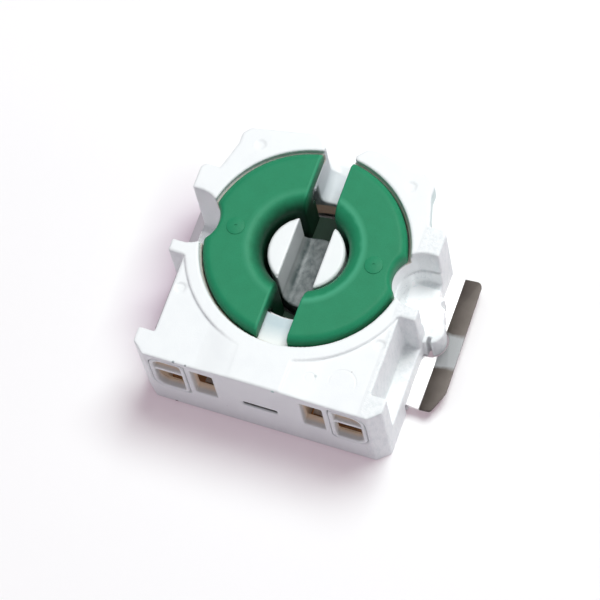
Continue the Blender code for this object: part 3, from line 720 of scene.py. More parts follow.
class Finish(Nodes):
    """A material under construction, on its piece's own coordinates."""

    def __init__(self, name: str) -> None:
        """Start a material with a Principled shader.

        Args:
            name: name of the material.
        """
        self.material = bpy.data.materials.new(name)
        self.material.use_nodes = True
        super().__init__(self.material.node_tree)
        self.shader = self.tree.nodes["Principled BSDF"]
        self.place = self.node("ShaderNodeTexCoord", {}, {}).outputs["Object"]

    def noise(self, size: float, detail: float = 3.0, roughness: float = 0.5,
              stretch: Corner = UNSTRETCHED) -> Number:
        """Noise on the piece's own coordinates.

        Args:
            size: size of its lumps in metres.
            detail: layers of finer noise.
            roughness: weight of the finer noise.
            stretch: factor on each axis; less than 1 draws the lumps out.
        Returns:
            Its height, about 0.5 in the middle.
        """
        place = self.place
        if stretch != UNSTRETCHED:
            mapping = self.node("ShaderNodeMapping", {}, {"Vector": place, "Scale": stretch})
            place = mapping.outputs[0]
        noise = self.node("ShaderNodeTexNoise", {"noise_dimensions": "3D"},
                          {"Vector": place, "Scale": 1.0 / size, "Detail": detail,
                           "Roughness": roughness})
        return Number(self.tree, noise.outputs[0])

    def specks(self, spacing: float, size: float) -> Number:
        """Mask of scattered dots: 1 inside a dot.

        Args:
            spacing: mean distance between dots.
            size: radius of the largest dots.
        Returns:
            The mask.
        """
        cells = self.node("ShaderNodeTexVoronoi", {"feature": "F1"},
                          {"Vector": self.place, "Scale": 1.0 / spacing})
        distance = Number(self.tree, cells.outputs["Distance"])
        tint = self.node("ShaderNodeSeparateColor", {}, {"Color": cells.outputs["Color"]})
        chance = Number(self.tree, tint.outputs[0])
        inside = 1.0 - distance.above(0.5 * size / spacing, size / spacing)
        return inside * chance.above(0.7, 0.72)

    def axis(self, name: str) -> Number:
        """One of the piece's own coordinates, in metres."""
        split = self.node("ShaderNodeSeparateXYZ", {}, {"Vector": self.place})
        return Number(self.tree, split.outputs[name])

    def distance(self, point: Corner) -> Number:
        """Distance to a point, in metres.

        Args:
            point: the point, on the piece's own coordinates.
        Returns:
            The distance.
        """
        settings = {"operation": "DISTANCE"}
        away = self.node("ShaderNodeVectorMath", settings, {0: self.place, 1: point})
        return Number(self.tree, away.outputs["Value"])

    def shaded_box(self, shade: Shade) -> Number:
        """Mask of a box with soft sides, the same at -X.

        Each axis gives 0 outside the box and its soft margin and 1 inside; the mask is their
        product. A box that lies around the rotor's axis has the radius in place of X.
        Args:
            shade: the box and its margins.
        Returns:
            The mask.
        """
        mask = None
        x, y, z = (self.axis(name) for name in "XYZ")
        across = (x * x + y * y) ** 0.5 if shade.around else x.size()
        for value, low, high, soft in zip((across, y, z), shade.low, shade.high, shade.soft):
            part = value.above(low - soft, low) * (1.0 - value.above(high, high + soft))
            mask = part if mask is None else mask * part
        return mask

    def relief(self, height: Number, depth: float, strength: float = 1.0) -> bpy.types.NodeSocket:
        """Bump from a height.

        Args:
            height: height from 0 to 1.
            depth: metres between 0 and 1.
            strength: share of the effect.
        Returns:
            The bumped normal.
        """
        bump = self.node("ShaderNodeBump", {}, {"Strength": strength, "Distance": depth,
                                                "Height": height})
        return bump.outputs[0]

    def done(self, **sockets: object) -> bpy.types.Material:
        """Feed the shader's sockets and finish.

        Args:
            sockets: value or link of each socket, its name's spaces written as underscores.
        Returns:
            The material.
        """
        for name, value in sockets.items():
            self.feed(self.shader.inputs[name.replace("_", " ")], value)
        return self.material


@dataclass(frozen=True)
class WhitePlastic:
    """White moulded plastic: cool white, a fine matt grain, faint clouds, specks, painted shade and
    glow.
    """

    name: str = "white_plastic"
    shades: tuple[Shade, ...] = ()
    spots: tuple[Spot, ...] = ()
    marks: tuple[Corner, ...] = ()
    scratches: tuple[Shade, ...] = ()
    rough_from: float = 0.0
    colour: Colour = (0.855, 0.885, 0.882)
    cloud: Colour = (0.80, 0.83, 0.84)
    speck: Colour = (0.35, 0.33, 0.31)
    # Tone of the painted shade along the streaks of the rough side walls
    painted_light: Colour = (0.56, 0.64, 0.65)
    cloud_size: float = 2.4 * MM
    grain_size: float = 0.12 * MM
    swirl_size: float = 0.9 * MM
    streak_size: float = 1.0 * MM
    streak_share: float = 0.16
    torn_size: float = 0.6 * MM
    torn_fade: float = 0.3 * MM
    torn_share: float = 0.30
    scratch_size: float = 1.3 * MM
    mark_width: float = 0.16 * MM
    mark_level: Pair = mm((13.0, 13.2))
    mark_fade: Pair = mm((-0.6, 0.4))
    relief_depth: float = 0.04 * MM

    def graded(self, finish: Finish, colour: object) -> tuple[object, object]:
        """Lay the painted shades, scratches and spots over a colour.

        Args:
            finish: material under construction.
            colour: colour so far.
        Returns:
            The colour with all of them, and the painted glow for light through the shaded walls.
        """
        glow = (0.0, 0.0, 0.0)
        streaks = finish.noise(self.streak_size, 4.0, 0.6, (1.0, 0.7, 0.4)).above(0.35, 0.6)
        weight = 1.0 - self.streak_share * (1.0 - streaks)
        # Each box lays painted shade in its tone and, where it has one, a painted glow
        for shade in self.shades:
            mask = finish.shaded_box(shade) * weight
            colour = finish.mixed(mask, colour, shade.tone)
            if any(shade.glow):
                glow = finish.mixed(mask, glow, shade.glow)
        # Painted teal-grey shade along the streaks of the rough side walls
        colour = finish.mixed(self.torn(finish).above(0.46, 0.62) * self.torn_share, colour,
                              self.painted_light)
        for shade in self.scratches:
            line = 1.0 - (finish.noise(self.scratch_size, 2.0) - 0.5).size().above(0.004, 0.014)
            colour = finish.mixed(finish.shaded_box(shade) * line * 0.6, colour, shade.tone)
        for spot in self.spots:
            mask = 1.0 - finish.distance(spot.place).above(0.5 * spot.radius, spot.radius)
            colour = finish.mixed(mask, colour, spot.tone)
        return colour, glow

    def marks_height(self, finish: Finish, height: Number) -> Number:
        """Add the mould's ring marks, which fade towards -Y, and the rough side walls to a height.

        Args:
            finish: material under construction.
            height: height so far.
        Returns:
            The height with a dip along each ring of |distance - radius| under the mark's width.
        """
        x, y, z = (finish.axis(name) for name in "XYZ")
        for centre_x, centre_y, radius in self.marks:
            away = ((x - centre_x) ** 2 + (y - centre_y) ** 2) ** 0.5 - radius
            dip = 1.0 - away.size().above(0.3 * self.mark_width, self.mark_width)
            front = z.above(*self.mark_level)
            far = y.above(centre_y + self.mark_fade[0], centre_y + self.mark_fade[1])
            height = height - dip * front * far * 0.8
        return height + self.torn(finish) * 3.0

    def torn(self, finish: Finish) -> Number:
        """Streaks of the rough side walls, from a distance in X outwards; 0 elsewhere.

        Args:
            finish: material under construction.
        Returns:
            The height of the streaks.
        """
        across = finish.axis("X")
        if self.rough_from <= 0.0:
            return across * 0.0
        streaks = finish.noise(self.torn_size, 5.0, 0.75, (1.0, 1.0, 0.30))
        return across.above(self.rough_from, self.rough_from + self.torn_fade) * streaks

    def material(self) -> bpy.types.Material:
        """Build the material: clouds and specks in the colour, grain and marks in the relief.

        Returns:
            The material.
        """
        finish = Finish(self.name)
        clouds = finish.noise(self.cloud_size, 4.0).above(0.45, 0.75)
        grain = finish.noise(self.grain_size, 4.0, 0.6)
        swirl = finish.noise(self.swirl_size, 2.0, stretch=(1.0, 0.5, 1.0))
        specks = finish.specks(3.6 * MM, 0.10 * MM)
        colour = finish.mixed(clouds * 0.5, self.colour, self.cloud)
        colour = finish.mixed(specks * 0.6, colour, self.speck)
        colour, glow = self.graded(finish, colour)
        height = self.marks_height(finish, grain * 0.6 + swirl * 0.5)
        return finish.done(Base_Color=colour, Roughness=0.36 + grain * 0.14, Emission_Color=glow,
                           Normal=finish.relief(height, self.relief_depth, 0.6),
                           Specular_IOR_Level=0.45, Emission_Strength=1.0)


@dataclass(frozen=True)
class GreenPlastic:
    """Green moulded plastic: satin, painted shade in the hole and slot, painted highlight on the
    crest.
    """

    colour: Colour = (0.015, 0.240, 0.112)
    cloud: Colour = (0.010, 0.190, 0.084)
    speck: Colour = (0.006, 0.07, 0.035)
    # Colour of the painted shade
    dark: Colour = (0.001, 0.017, 0.006)
    # Colour of the painted highlight
    crest: Colour = (0.050, 0.330, 0.180)
    slot: str = "green_plastic"
    painted_light_band: Pair = mm((-2.0, 3.0))
    hole_band: Pair = mm((5.2, 6.5))
    funnel_band: Pair = mm((11.2, 13.7))
    slot_band: Pair = mm((5.0, 8.0))
    crest_rise: Pair = mm((6.4, 6.8))
    crest_fall: Pair = mm((6.9, 7.5))
    cloud_size: float = 1.6 * MM
    grain_size: float = 0.14 * MM
    lip_band: Pair = mm((1.95, 2.2))
    lip_level: Pair = mm((14.0, 14.2))
    wander: float = 0.5 * MM

    def material(self) -> bpy.types.Material:
        """Build the material: tones follow the distance from the axis and the height.

        The hole and the slot carry painted shade, darkest on the left; towards the right the
        painted shade thins as if the light reaches them, and a painted highlight lies on the crest
        of the funnel and along the slot's top edges.
        Returns:
            The material.
        """
        finish = Finish(self.slot)
        x, y, z = (finish.axis(name) for name in "XYZ")
        radius = (x * x + y * y) ** 0.5
        clouds = finish.noise(self.cloud_size, 5.0).above(0.35, 0.75)
        grain = finish.noise(self.grain_size, 4.0, 0.65)
        edge = radius + (finish.noise(1.2 * MM, 3.0) - 0.5) * self.wander
        specks = finish.specks(2.4 * MM, 0.10 * MM)
        # Share of painted light from the right: 0 on the left, 1 on the right
        painted_light = x.above(*self.painted_light_band)
        # Painted shade down the hole, the funnel and the slot
        hole = (1.0 - edge.above(*self.hole_band)) * (0.90 - painted_light * 0.86)
        deep = (1.0 - z.above(*self.funnel_band)) * (0.96 - painted_light * 0.40)
        deep = deep.most((1.0 - z.above(*self.slot_band)) * 0.98)
        # Painted highlights on the funnel's crest and along the slot's top edges
        ring = edge.above(*self.crest_rise) * (1.0 - radius.above(*self.crest_fall))
        lip = (1.0 - x.size().above(*self.lip_band)) * z.above(*self.lip_level)
        mottle = (clouds * 0.35 + grain.above(0.42, 0.66) * 0.45).least(1.0)
        colour = finish.mixed(mottle, self.colour, self.cloud)
        colour = finish.mixed((ring * (0.35 + painted_light * 0.65)).most(lip * 0.6), colour, self.crest)
        colour = finish.mixed(hole.most(deep), colour, self.dark)
        colour = finish.mixed(specks * 0.6, colour, self.speck)
        return finish.done(Base_Color=colour, Roughness=0.44 + grain * 0.16,
                           Normal=finish.relief(grain, 0.02 * MM, 0.5), Specular_IOR_Level=0.20)


@dataclass(frozen=True)
class SheetMetal:
    """Rolled sheet metal: fine streaks along one axis, dull patches and small specks."""

    slot: str
    colour: Colour
    dull: Colour
    roughness: float
    streak: Corner = (1.0, 0.06, 1.0)

    def material(self) -> bpy.types.Material:
        """Build the material: streaks in roughness and relief, dull patches in the colour.

        Returns:
            The material.
        """
        finish = Finish(self.slot)
        streaks = finish.noise(0.09 * MM, 3.0, 0.6, self.streak)
        patches = finish.noise(1.8 * MM, 4.0).above(0.4, 0.7)
        specks = finish.specks(2.2 * MM, 0.12 * MM)
        colour = finish.mixed(patches * 0.6 + specks * 0.3, self.colour, self.dull)
        roughness = self.roughness + streaks * 0.12 + patches * 0.10
        return finish.done(Base_Color=colour, Roughness=roughness, Metallic=1.0,
                           Normal=finish.relief(streaks, 0.012 * MM, 0.35))


@dataclass(frozen=True)
class WingSteel:
    """Bright sheet steel; its lip has a painted dull brown reflection, crossed by one pale stripe
    that is a painted reflection of the peg.
    """

    fold: float
    reach: float
    stripe: Pair = mm((-5.1, -1.4))
    colour: Colour = (0.92, 0.91, 0.90)
    # Colours of the lip's painted reflection: at the fold, further out, and the peg's pale stripe
    brown: Colour = (0.042, 0.032, 0.025)
    outer: Colour = (0.135, 0.117, 0.101)
    pale: Colour = (0.29, 0.30, 0.30)
    # Painted shade on the left wing
    shaded: Colour = (0.50, 0.49, 0.49)
    speck: Colour = (0.45, 0.43, 0.40)
    slot: str = "bright_steel"
    lip_edge: Pair = mm((-0.05, 0.12))
    left_edge: Pair = mm((14.9, 15.3))
    wander: Pair = mm((1.2, 1.1))
    stripe_fade: float = 0.6 * MM

    def material(self) -> bpy.types.Material:
        """Build the material: a painted brown reflection beyond the fold in X, the painted stripe
        in Y, painted shade on the left wing, fine streaks.

        Returns:
            The material.
        """
        finish = Finish(self.slot + "_wing")
        across = finish.axis("X")
        along = finish.axis("Y")
        streaks = finish.noise(0.10 * MM, 3.0, 0.6, (1.0, 0.06, 1.0))
        patches = finish.noise(1.5 * MM, 4.0)
        specks = finish.specks(1.5 * MM, 0.12 * MM)
        # The lip: a painted brown reflection, paler outwards, crossed by the peg's painted pale
        # reflection
        lip = across.above(self.fold + self.lip_edge[0], self.fold + self.lip_edge[1])
        outwards = (across + (patches - 0.5) * self.wander[0]).above(self.fold, self.reach)
        near, far = self.stripe
        bent = along + (patches - 0.5) * self.wander[1]
        stripe = bent.above(near - self.stripe_fade, near)
        stripe = stripe * (1.0 - bent.above(far, far + self.stripe_fade))
        lip_reflection = finish.mixed(outwards, self.brown, self.outer)
        lip_reflection = finish.mixed(stripe, lip_reflection, self.pale)
        # Painted shade on the left wing's outer part
        left = (0.0 - across).above(*self.left_edge)
        colour = finish.mixed(left, self.colour, self.shaded)
        colour = finish.mixed(lip, colour, lip_reflection)
        colour = finish.mixed(specks * lip * 0.7, colour, self.speck)
        return finish.done(Base_Color=colour, Roughness=0.26 + streaks * 0.12 + lip * 0.26,
                           Metallic=1.0 - lip * 0.55,
                           Normal=finish.relief(streaks + patches * 0.6, 0.014 * MM, 0.35))


@dataclass(frozen=True)
class PressedFilm:
    """Grey pressed insulation sheet with short fibres."""

    colour: Colour = (0.30, 0.31, 0.33)
    fibre: Colour = (0.42, 0.42, 0.43)
    slot: str = "grey_film"

    def material(self) -> bpy.types.Material:
        """Build the material: drawn-out noise gives the fibres.

        Returns:
            The material.
        """
        finish = Finish(self.slot)
        fibres = finish.noise(0.25 * MM, 4.0, 0.7, (1.0, 0.25, 1.0))
        colour = finish.mixed(fibres.above(0.4, 0.65), self.colour, self.fibre)
        return finish.done(Base_Color=colour, Roughness=0.65 + fibres * 0.15,
                           Normal=finish.relief(fibres, 0.03 * MM, 0.6))


# Sub-assemblies


def settle(piece: bpy.types.Object, body: Body, slot: str, material: bpy.types.Material,
           *nodes: str) -> bpy.types.Object:
    """Give a finished piece its material and body, in place of its nodes.

    Args:
        piece: finished piece.
        body: body that it rides on.
        slot: the record's material slot; not used.
        material: its material.
        nodes: CAD nodes that it stands for.
    Returns:
        The piece.
    """
    piece.data.materials.clear()
    piece.data.materials.append(material)
    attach(piece, body.value)
    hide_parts(*nodes)
    log.info("%s: %d faces, on %s", piece.name, len(piece.data.polygons), body.value)
    return piece


@dataclass
class Palette:
    """Every finish of the holder, made once."""

    white: bpy.types.Material
    shell: bpy.types.Material
    guide: bpy.types.Material
    green: bpy.types.Material
    steel: bpy.types.Material
    wing: bpy.types.Material
    bronze: bpy.types.Material
    spring: bpy.types.Material
    film: bpy.types.Material


@dataclass
class Housing:
    """White front housing, moulded in one piece with its peg: every edge has its own round."""

    step: float = 0.16 * MM
    body: tuple[Corner, ...] = mm((
        (4.4, 14.0, 0.5), (11.2, 12.7, 0.5), (12.0, 11.8, 0.5), (12.0, 10.4, 0.5),
        (13.05, 6.8, 0.15), (14.8, 6.8, 0.3), (15.3, 6.3, 0.3), (15.3, -16.7, 0.35),
        (13.8, -18.0, 0.35), (-5.0, -18.0, 0.0), (-5.0, 14.0, 0.0)))
    undercut: tuple[Corner, ...] = mm((
        (3.1, 16.0, 0.0), (3.1, 13.75, 0.3), (4.4, 12.7, 0.4), (9.9, 11.4, 0.5), (10.7, 10.5, 0.3),
        (11.35, 6.55, 0.3), (17.3, 6.55, 0.0), (17.3, 16.0, 0.0)))
    undercut_height: float = 10.85 * MM
    half_width: float = 13.3 * MM
    shelf_height: float = 5.2 * MM
    shelf: Pair = mm((-14.9, -5.0))  # near, far
    scoop_centre: float = 14.2 * MM
    scoop_radius: float = 3.4 * MM
    scoop_step: float = 0.25 * MM
    scoop_step_depth: float = 5.0 * MM
    scoop_floors: Pair = mm((3.1, 5.9))  # left, right
    collar_radius: float = 14.1 * MM
    bridge_half: float = 3.25 * MM
    panel_step: float = 0.35 * MM
    panel_fade: float = 4.5 * MM
    right_share: float = 0.45
    seat_radius: float = 12.16 * MM
    seat_height: float = 11.7 * MM
    seat_shoulder: Pair = mm((12.42, 13.05))  # radius, height of its floor
    bore_radius: float = 8.3 * MM
    bore_floor: float = 3.2 * MM
    chamber_radius: float = 9.2 * MM
    chamber_half: float = 10.0 * MM
    chamber_top: float = 10.7 * MM
    chamber_ends: Pair = mm((-10.1, 5.2))  # near, far
    mouth_half: float = 1.9 * MM
    mouth_floor: float = 6.0 * MM
    mouth_rise: float = 1.2 * MM
    mouth_hollow: float = 1.2 * MM
    mouth_flare: Pair = mm((1.1, 1.2))  # widening, length
    terminal_wall: float = 1.4 * MM
    entry: tuple[Corner, ...] = mm((
        (8.8, 4.3, 0.5), (13.4, 4.3, 1.9), (13.4, 12.7, 1.9), (8.8, 12.7, 0.5)))
    square: tuple[Corner, ...] = mm((
        (5.4, 5.6, 0.15), (8.1, 5.6, 0.15), (8.1, 11.9, 0.15), (5.4, 11.9, 0.15)))
    cage: Pair = mm((5.0, 12.3))  # inner, outer side
    cage_ends: Corner = mm((-16.6, -12.7, -9.8))  # near, step, far
    cage_top: float = 11.9 * MM
    slit: tuple[float, ...] = mm((2.15, 6.0, 7.0, 1.0))  # half width, bottom, top, depth
    recess: tuple[Corner, ...] = mm((
        (9.3, 10.0, 0.5), (9.3, 6.5, 0.0), (13.9, 6.5, 0.0), (13.9, -16.6, 0.5), (-5.0, -16.6, 0.0),
        (-5.0, 10.0, 0.0)))
    recess_top: float = 2.3 * MM
    wing_way: Pair = mm((-11.3, 6.5))  # near, far
    dimple_radius: float = 0.6 * MM
    dimple_depth: float = 0.13 * MM
    far_dimple: Pair = mm((9.4, 10.9))
    near_dimple: Pair = mm((12.3, -8.9))
    rivet_way: Pair = mm((1.0, 4.5))  # radius, height
    peg: Corner = mm((15.5, -2.5, 1.9))  # x, y, radius
    peg_heights: Pair = mm((1.5, 6.0))
    peg_groove: tuple[float, ...] = mm((15.7, 16.2, -4.8, -3.5))  # left, right, near, far
    tongue: tuple[Corner, ...] = mm((
        (13.9, -4.0, 0.0), (16.2, -4.0, 0.9), (17.2, -2.2, 0.9), (16.1, 1.75, 0.3),
        (13.9, 1.2, 0.0)))
    tongue_heights: Pair = mm((2.45, 5.95))
    tongue_notch: Corner = mm((16.25, 0.9, 0.45))  # x, y, radius
    outer_round: float = 0.28 * MM
    rim_round: float = 0.20 * MM
    hole_round: float = 0.12 * MM
    foot_round: float = 0.1 * MM
    inner_round: float = 0.2 * MM
    scoop_rounds: Corner = mm((0.05, 0.3, 0.08))  # step, floor, edge
    panel_rounds: Pair = mm((0.3, 0.12))  # corner, edge
    seat_rounds: Pair = mm((0.1, 0.06))  # floor, edge
    dimple_rounds: Pair = mm((0.05, 0.06))  # floor, edge
    slit_rounds: Pair = mm((0.2, 0.15))  # corner, edge
    peg_rounds: Pair = mm((0.3, 0.1))  # form, join
    peg_root: float = 1.0 * MM
    tongue_rounds: Corner = mm((0.25, 0.1, 0.15))  # form, notch, join
    groove_rounds: Pair = mm((0.2, 0.15))  # corner, edge
    overrun: float = 1.0 * MM

    def __post_init__(self) -> None:
        """Read the outer box from the frame."""
        self.low, self.high = (tuple(corner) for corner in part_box("front_housing"))
        self.top = self.high[2]
        self.near = self.low[1]
        self.far = self.high[1]

    def outside(self, clay: Clay) -> None:
        """Outer form: the outline, the end set back under the front plate, shelves and scoops.

        Args:
            clay: moulding under construction.
        """
        clay.keep(both(clay.upright(rounded_outline(self.body)[::-1], True), clay.z - self.top,
                       self.outer_round))
        clay.keep(-clay.z, self.foot_round)
        undercut = both(clay.upright(rounded_outline(self.undercut)[::-1], True),
                        clay.z - self.undercut_height, self.inner_round)
        clay.cut(undercut, self.rim_round)
        shelf = both(self.half_width - clay.side, self.shelf_height - clay.z, self.inner_round)
        clay.cut(both(shelf, between(clay.y, *self.shelf), self.inner_round), self.outer_round)
        scoop = np.hypot(np.minimum(clay.side - self.scoop_centre, 0.0), clay.y) - self.scoop_radius
        step_z = self.top - self.scoop_step_depth
        step = np.where(clay.x > 0.0, self.scoop_step, 0.0)
        floor = np.where(clay.x > 0.0, self.scoop_floors[1], self.scoop_floors[0])
        step_round, floor_round, edge_round = self.scoop_rounds
        clay.cut(both(scoop, step_z - clay.z, step_round), self.rim_round)
        clay.cut(both(scoop + step, floor - clay.z, floor_round), edge_round)

    def front(self, clay: Clay) -> None:
        """Front face: lowered panels beside the bridge, the rotor's seat and bore, the mouth.

        A panel deepens from the bridge outwards by the smooth step t t (3 - 2 t). The mouth
        flares at its end, and its floor climbs from the bore to the end.
        Args:
            clay: moulding under construction.
        """
        corner_round, edge_round = self.panel_rounds
        panel = both(self.collar_radius - clay.radius, self.bridge_half - clay.side, corner_round)
        panel = both(panel, clay.y - self.shelf[1], self.inner_round)
        fade = np.clip((clay.side - self.bridge_half) / self.panel_fade, 0.0, 1.0)
        fade = fade * fade * (3.0 - 2.0 * fade)
        share = np.where(clay.x > 0.0, self.right_share + (1 - self.right_share) * fade, fade)
        clay.cut(both(panel, self.top - self.panel_step * share - clay.z, edge_round), edge_round)
        radius, height = self.seat_shoulder
        floor_round, edge_round = self.seat_rounds
        clay.cut(both(clay.radius - radius, height - clay.z, floor_round), self.rim_round)
        clay.cut(both(clay.radius - self.seat_radius, self.seat_height - clay.z, floor_round),
                 edge_round)
        clay.cut(both(clay.radius - self.bore_radius, self.bore_floor - clay.z), self.hole_round)
        clay.cut(both(clay.radius - self.chamber_radius, clay.z - self.chamber_top))
        near, far = self.chamber_ends
        clay.cut(both(both(clay.side - self.chamber_half, between(clay.y, near, far)),
                      clay.z - self.chamber_top))
        flare, length = self.mouth_flare
        beyond = (clay.y - self.far + length) / length
        half = self.mouth_half + flare * np.maximum(beyond, 0.0)
        slant = math.hypot(flare, length) / length
        mouth = both((clay.side - half) / np.where(beyond > 0.0, slant, 1.0), -clay.y)
        climb = np.clip((clay.y - self.chamber_radius) / (self.far - self.chamber_radius), 0.0, 1.0)
        floor = self.mouth_floor + self.mouth_rise * climb
        clay.cut(both(mouth, floor - clay.z, self.mouth_hollow), self.rim_round)
        floor_round, edge_round = self.dimple_rounds
        for centre, face in ((self.far_dimple, self.top),
                             (self.near_dimple, self.top - self.panel_step)):
            clay.cut(both(clay.round_post(centre, self.dimple_radius, True),
                          face - self.dimple_depth - clay.z, floor_round), edge_round)

    def terminals(self, clay: Clay) -> None:
        """Terminal end: arched entries, square holes, the slit and the chambers behind them.

        Args:
            clay: moulding under construction.
        """
        front = clay.y - self.near
        for outline, soft in ((self.entry, self.hole_round), (self.square, self.rim_round)):
            clay.cut(both(clay.along_y(rounded_outline(outline)),
                          front - self.terminal_wall - self.overrun), soft)
        near, step, far = self.cage_ends
        width = between(clay.side, *self.cage)
        clay.cut(both(both(width, between(clay.y, near, step)), clay.z - self.cage_top))
        clay.cut(both(both(width, between(clay.y, step - self.step, far)),
                      clay.z - self.chamber_top))
        half, low, high, depth = self.slit
        corner_round, edge_round = self.slit_rounds
        clay.cut(both(both(clay.side - half, between(clay.z, low, high), corner_round),
                      front - depth), edge_round)

    def back(self, clay: Clay) -> None:
        """Back: the recess for cover and plate, the ways for the wings, the rivets' holes.

        Args:
            clay: moulding under construction.
        """
        recess = clay.upright(rounded_outline(self.recess)[::-1], True)
        clay.cut(both(recess, clay.z - self.recess_top), self.hole_round)
        clay.cut(both(between(clay.y, *self.wing_way), clay.z - self.recess_top), self.hole_round)
        radius, height = self.rivet_way
        for x, y in rivet_places():
            clay.cut(both(clay.round_post((x, y), radius), clay.z - height))

    def add_peg(self, clay: Clay) -> None:
        """Half-round peg on the right of the base, its tongue to the scoop, and its groove.

        Args:
            clay: moulding under construction.
        """
        x, y, radius = self.peg
        form_round, join_round = self.peg_rounds
        peg = both(clay.round_post((x, y), radius), between(clay.z, *self.peg_heights), form_round)
        clay.add(both(peg, self.half_width + self.peg_root - clay.x), join_round)
        form_round, notch_round, join_round = self.tongue_rounds
        tongue = both(clay.upright(rounded_outline(self.tongue)),
                      between(clay.z, *self.tongue_heights), form_round)
        x, y, radius = self.tongue_notch
        clay.add(both(tongue, -clay.round_post((x, y), radius), notch_round), join_round)
        left, right, near, far = self.peg_groove
        corner_round, edge_round = self.groove_rounds
        clay.cut(both(between(clay.x, left, right), between(clay.y, near, far), corner_round),
                 edge_round)

    def build(self, palette: Palette) -> None:
        """Mould the housing and put it on its body.

        Args:
            palette: the finishes.
        """
        clay = Clay(self.low, self.high, self.step)
        self.outside(clay)
        self.front(clay)
        self.terminals(clay)
        self.back(clay)
        self.add_peg(clay)
        settle(clay.surface("housing_shell"), Body.HOUSING, "white_plastic", palette.shell,
               "front_housing")


@dataclass
class WireEntries:
    """Arched inserts round the wire entries: a frame with a cross bar set a little back."""

    step: float = 0.1 * MM
    wall: float = 0.5 * MM
    outer_corner: float = 1.8 * MM
    inner_corner: float = 0.9 * MM
    hole_corner: Pair = mm((0.4, 1.3))  # inner, outer
    bar: Pair = mm((8.88, 9.5))  # bottom, top
    bar_back: float = 0.22 * MM
    bar_rounds: Pair = mm((0.15, 0.08))  # form, join
    bar_end: float = 0.05 * MM
    rim_round: float = 0.2 * MM
    edge_round: float = 0.12 * MM

    def outline(self, low: Corner, high: Corner, inner: float, outer: float) -> np.ndarray:
        """Arch of the entry in XZ: small corners towards the middle, large ones outside.

        Args:
            low: lowest corner of its box.
            high: highest corner of its box.
            inner: radius of the two corners towards the middle.
            outer: radius of the two outer corners.
        Returns:
            Array of x, z points.
        """
        return rounded_outline([(low[0], low[2], inner), (high[0], low[2], outer),
                                (high[0], high[2], outer), (low[0], high[2], inner)])

    def build(self, palette: Palette) -> None:
        """Mould the right insert and mirror it.

        Args:
            palette: the finishes.
        """
        low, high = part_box("wire_funnel_right")
        clay = Clay(low, high, self.step)
        depth = between(clay.y, low[1], high[1])
        clay.keep(both(clay.along_y(self.outline(low, high, self.inner_corner, self.outer_corner)),
                       depth, self.edge_round))
        wall = Vector((self.wall, 0.0, self.wall))
        hole_low, hole_high = Vector(low) + wall, Vector(high) - wall
        clay.cut(clay.along_y(self.outline(hole_low, hole_high, *self.hole_corner)), self.rim_round)
        form_round, join_round = self.bar_rounds
        across = between(clay.x, hole_low[0] - self.wall / 2, hole_high[0] + self.wall / 2)
        bar = both(both(between(clay.z, *self.bar), across),
                   between(clay.y, low[1] + self.bar_back, high[1] - self.bar_end), form_round)
        clay.add(bar, join_round)
        right = clay.surface("wire_insert_right")
        left = mirror_image("wire_insert_left", right)
        left.modifiers.new("Weighted Normal", "WEIGHTED_NORMAL").weight = 100
        settle(right, Body.HOUSING, "white_plastic", palette.shell, "wire_funnel_right")
        settle(left, Body.HOUSING, "white_plastic", palette.shell, "wire_funnel_left")


@dataclass
class Rivets:
    """Four cover rivets: a low domed head with a dimple, on a shank with a soft end."""

    head: float = 0.6 * MM
    shank: float = 0.7 * MM
    dome: float = 0.28 * MM
    dimple: Pair = mm((0.32, 0.14))  # radius, depth
    end_round: float = 0.2 * MM
    head_edge: float = 0.08 * MM
    shank_flare: float = 0.06 * MM
    sides: int = 40

    def rivet(self, node: str) -> bpy.types.Object:
        """Build one rivet where its node stands.

        A round outline is carried up: the dimple's cone, the dome r(1 - sin a), the shoulder
        and the shank.
        Args:
            node: name of the CAD node.
        Returns:
            The closed rivet.
        """
        low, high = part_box(node)
        radius = (high[1] - low[1]) / 2
        centre = ((low[0] + high[0]) / 2, (low[1] + high[1]) / 2)
        wide, deep = self.dimple
        profile = [(radius - 0.3 * wide, low[2] + deep), (radius - 0.8 * wide, low[2] + 0.5 * deep),
                   (radius - wide, low[2])]
        profile += soft_ends(low[2], low[2] + self.head, self.dome, self.head_edge, 6)
        profile += [(radius - self.shank + by, height) for by, height in soft_ends(
            low[2] + self.head, high[2], -self.shank_flare, self.end_round, 5)]
        return solid(node + "_head", stack(circle(centre, radius, self.sides), profile))

    def build(self, palette: Palette) -> None:
        """Build the rivets and put them on the housing.

        Args:
            palette: the finishes.
        """
        for node in [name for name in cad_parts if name.startswith("cover_rivet")]:
            rivet = shaded(self.rivet(node), 40.0)
            settle(rivet, Body.HOUSING, "bright_steel", palette.steel, node)


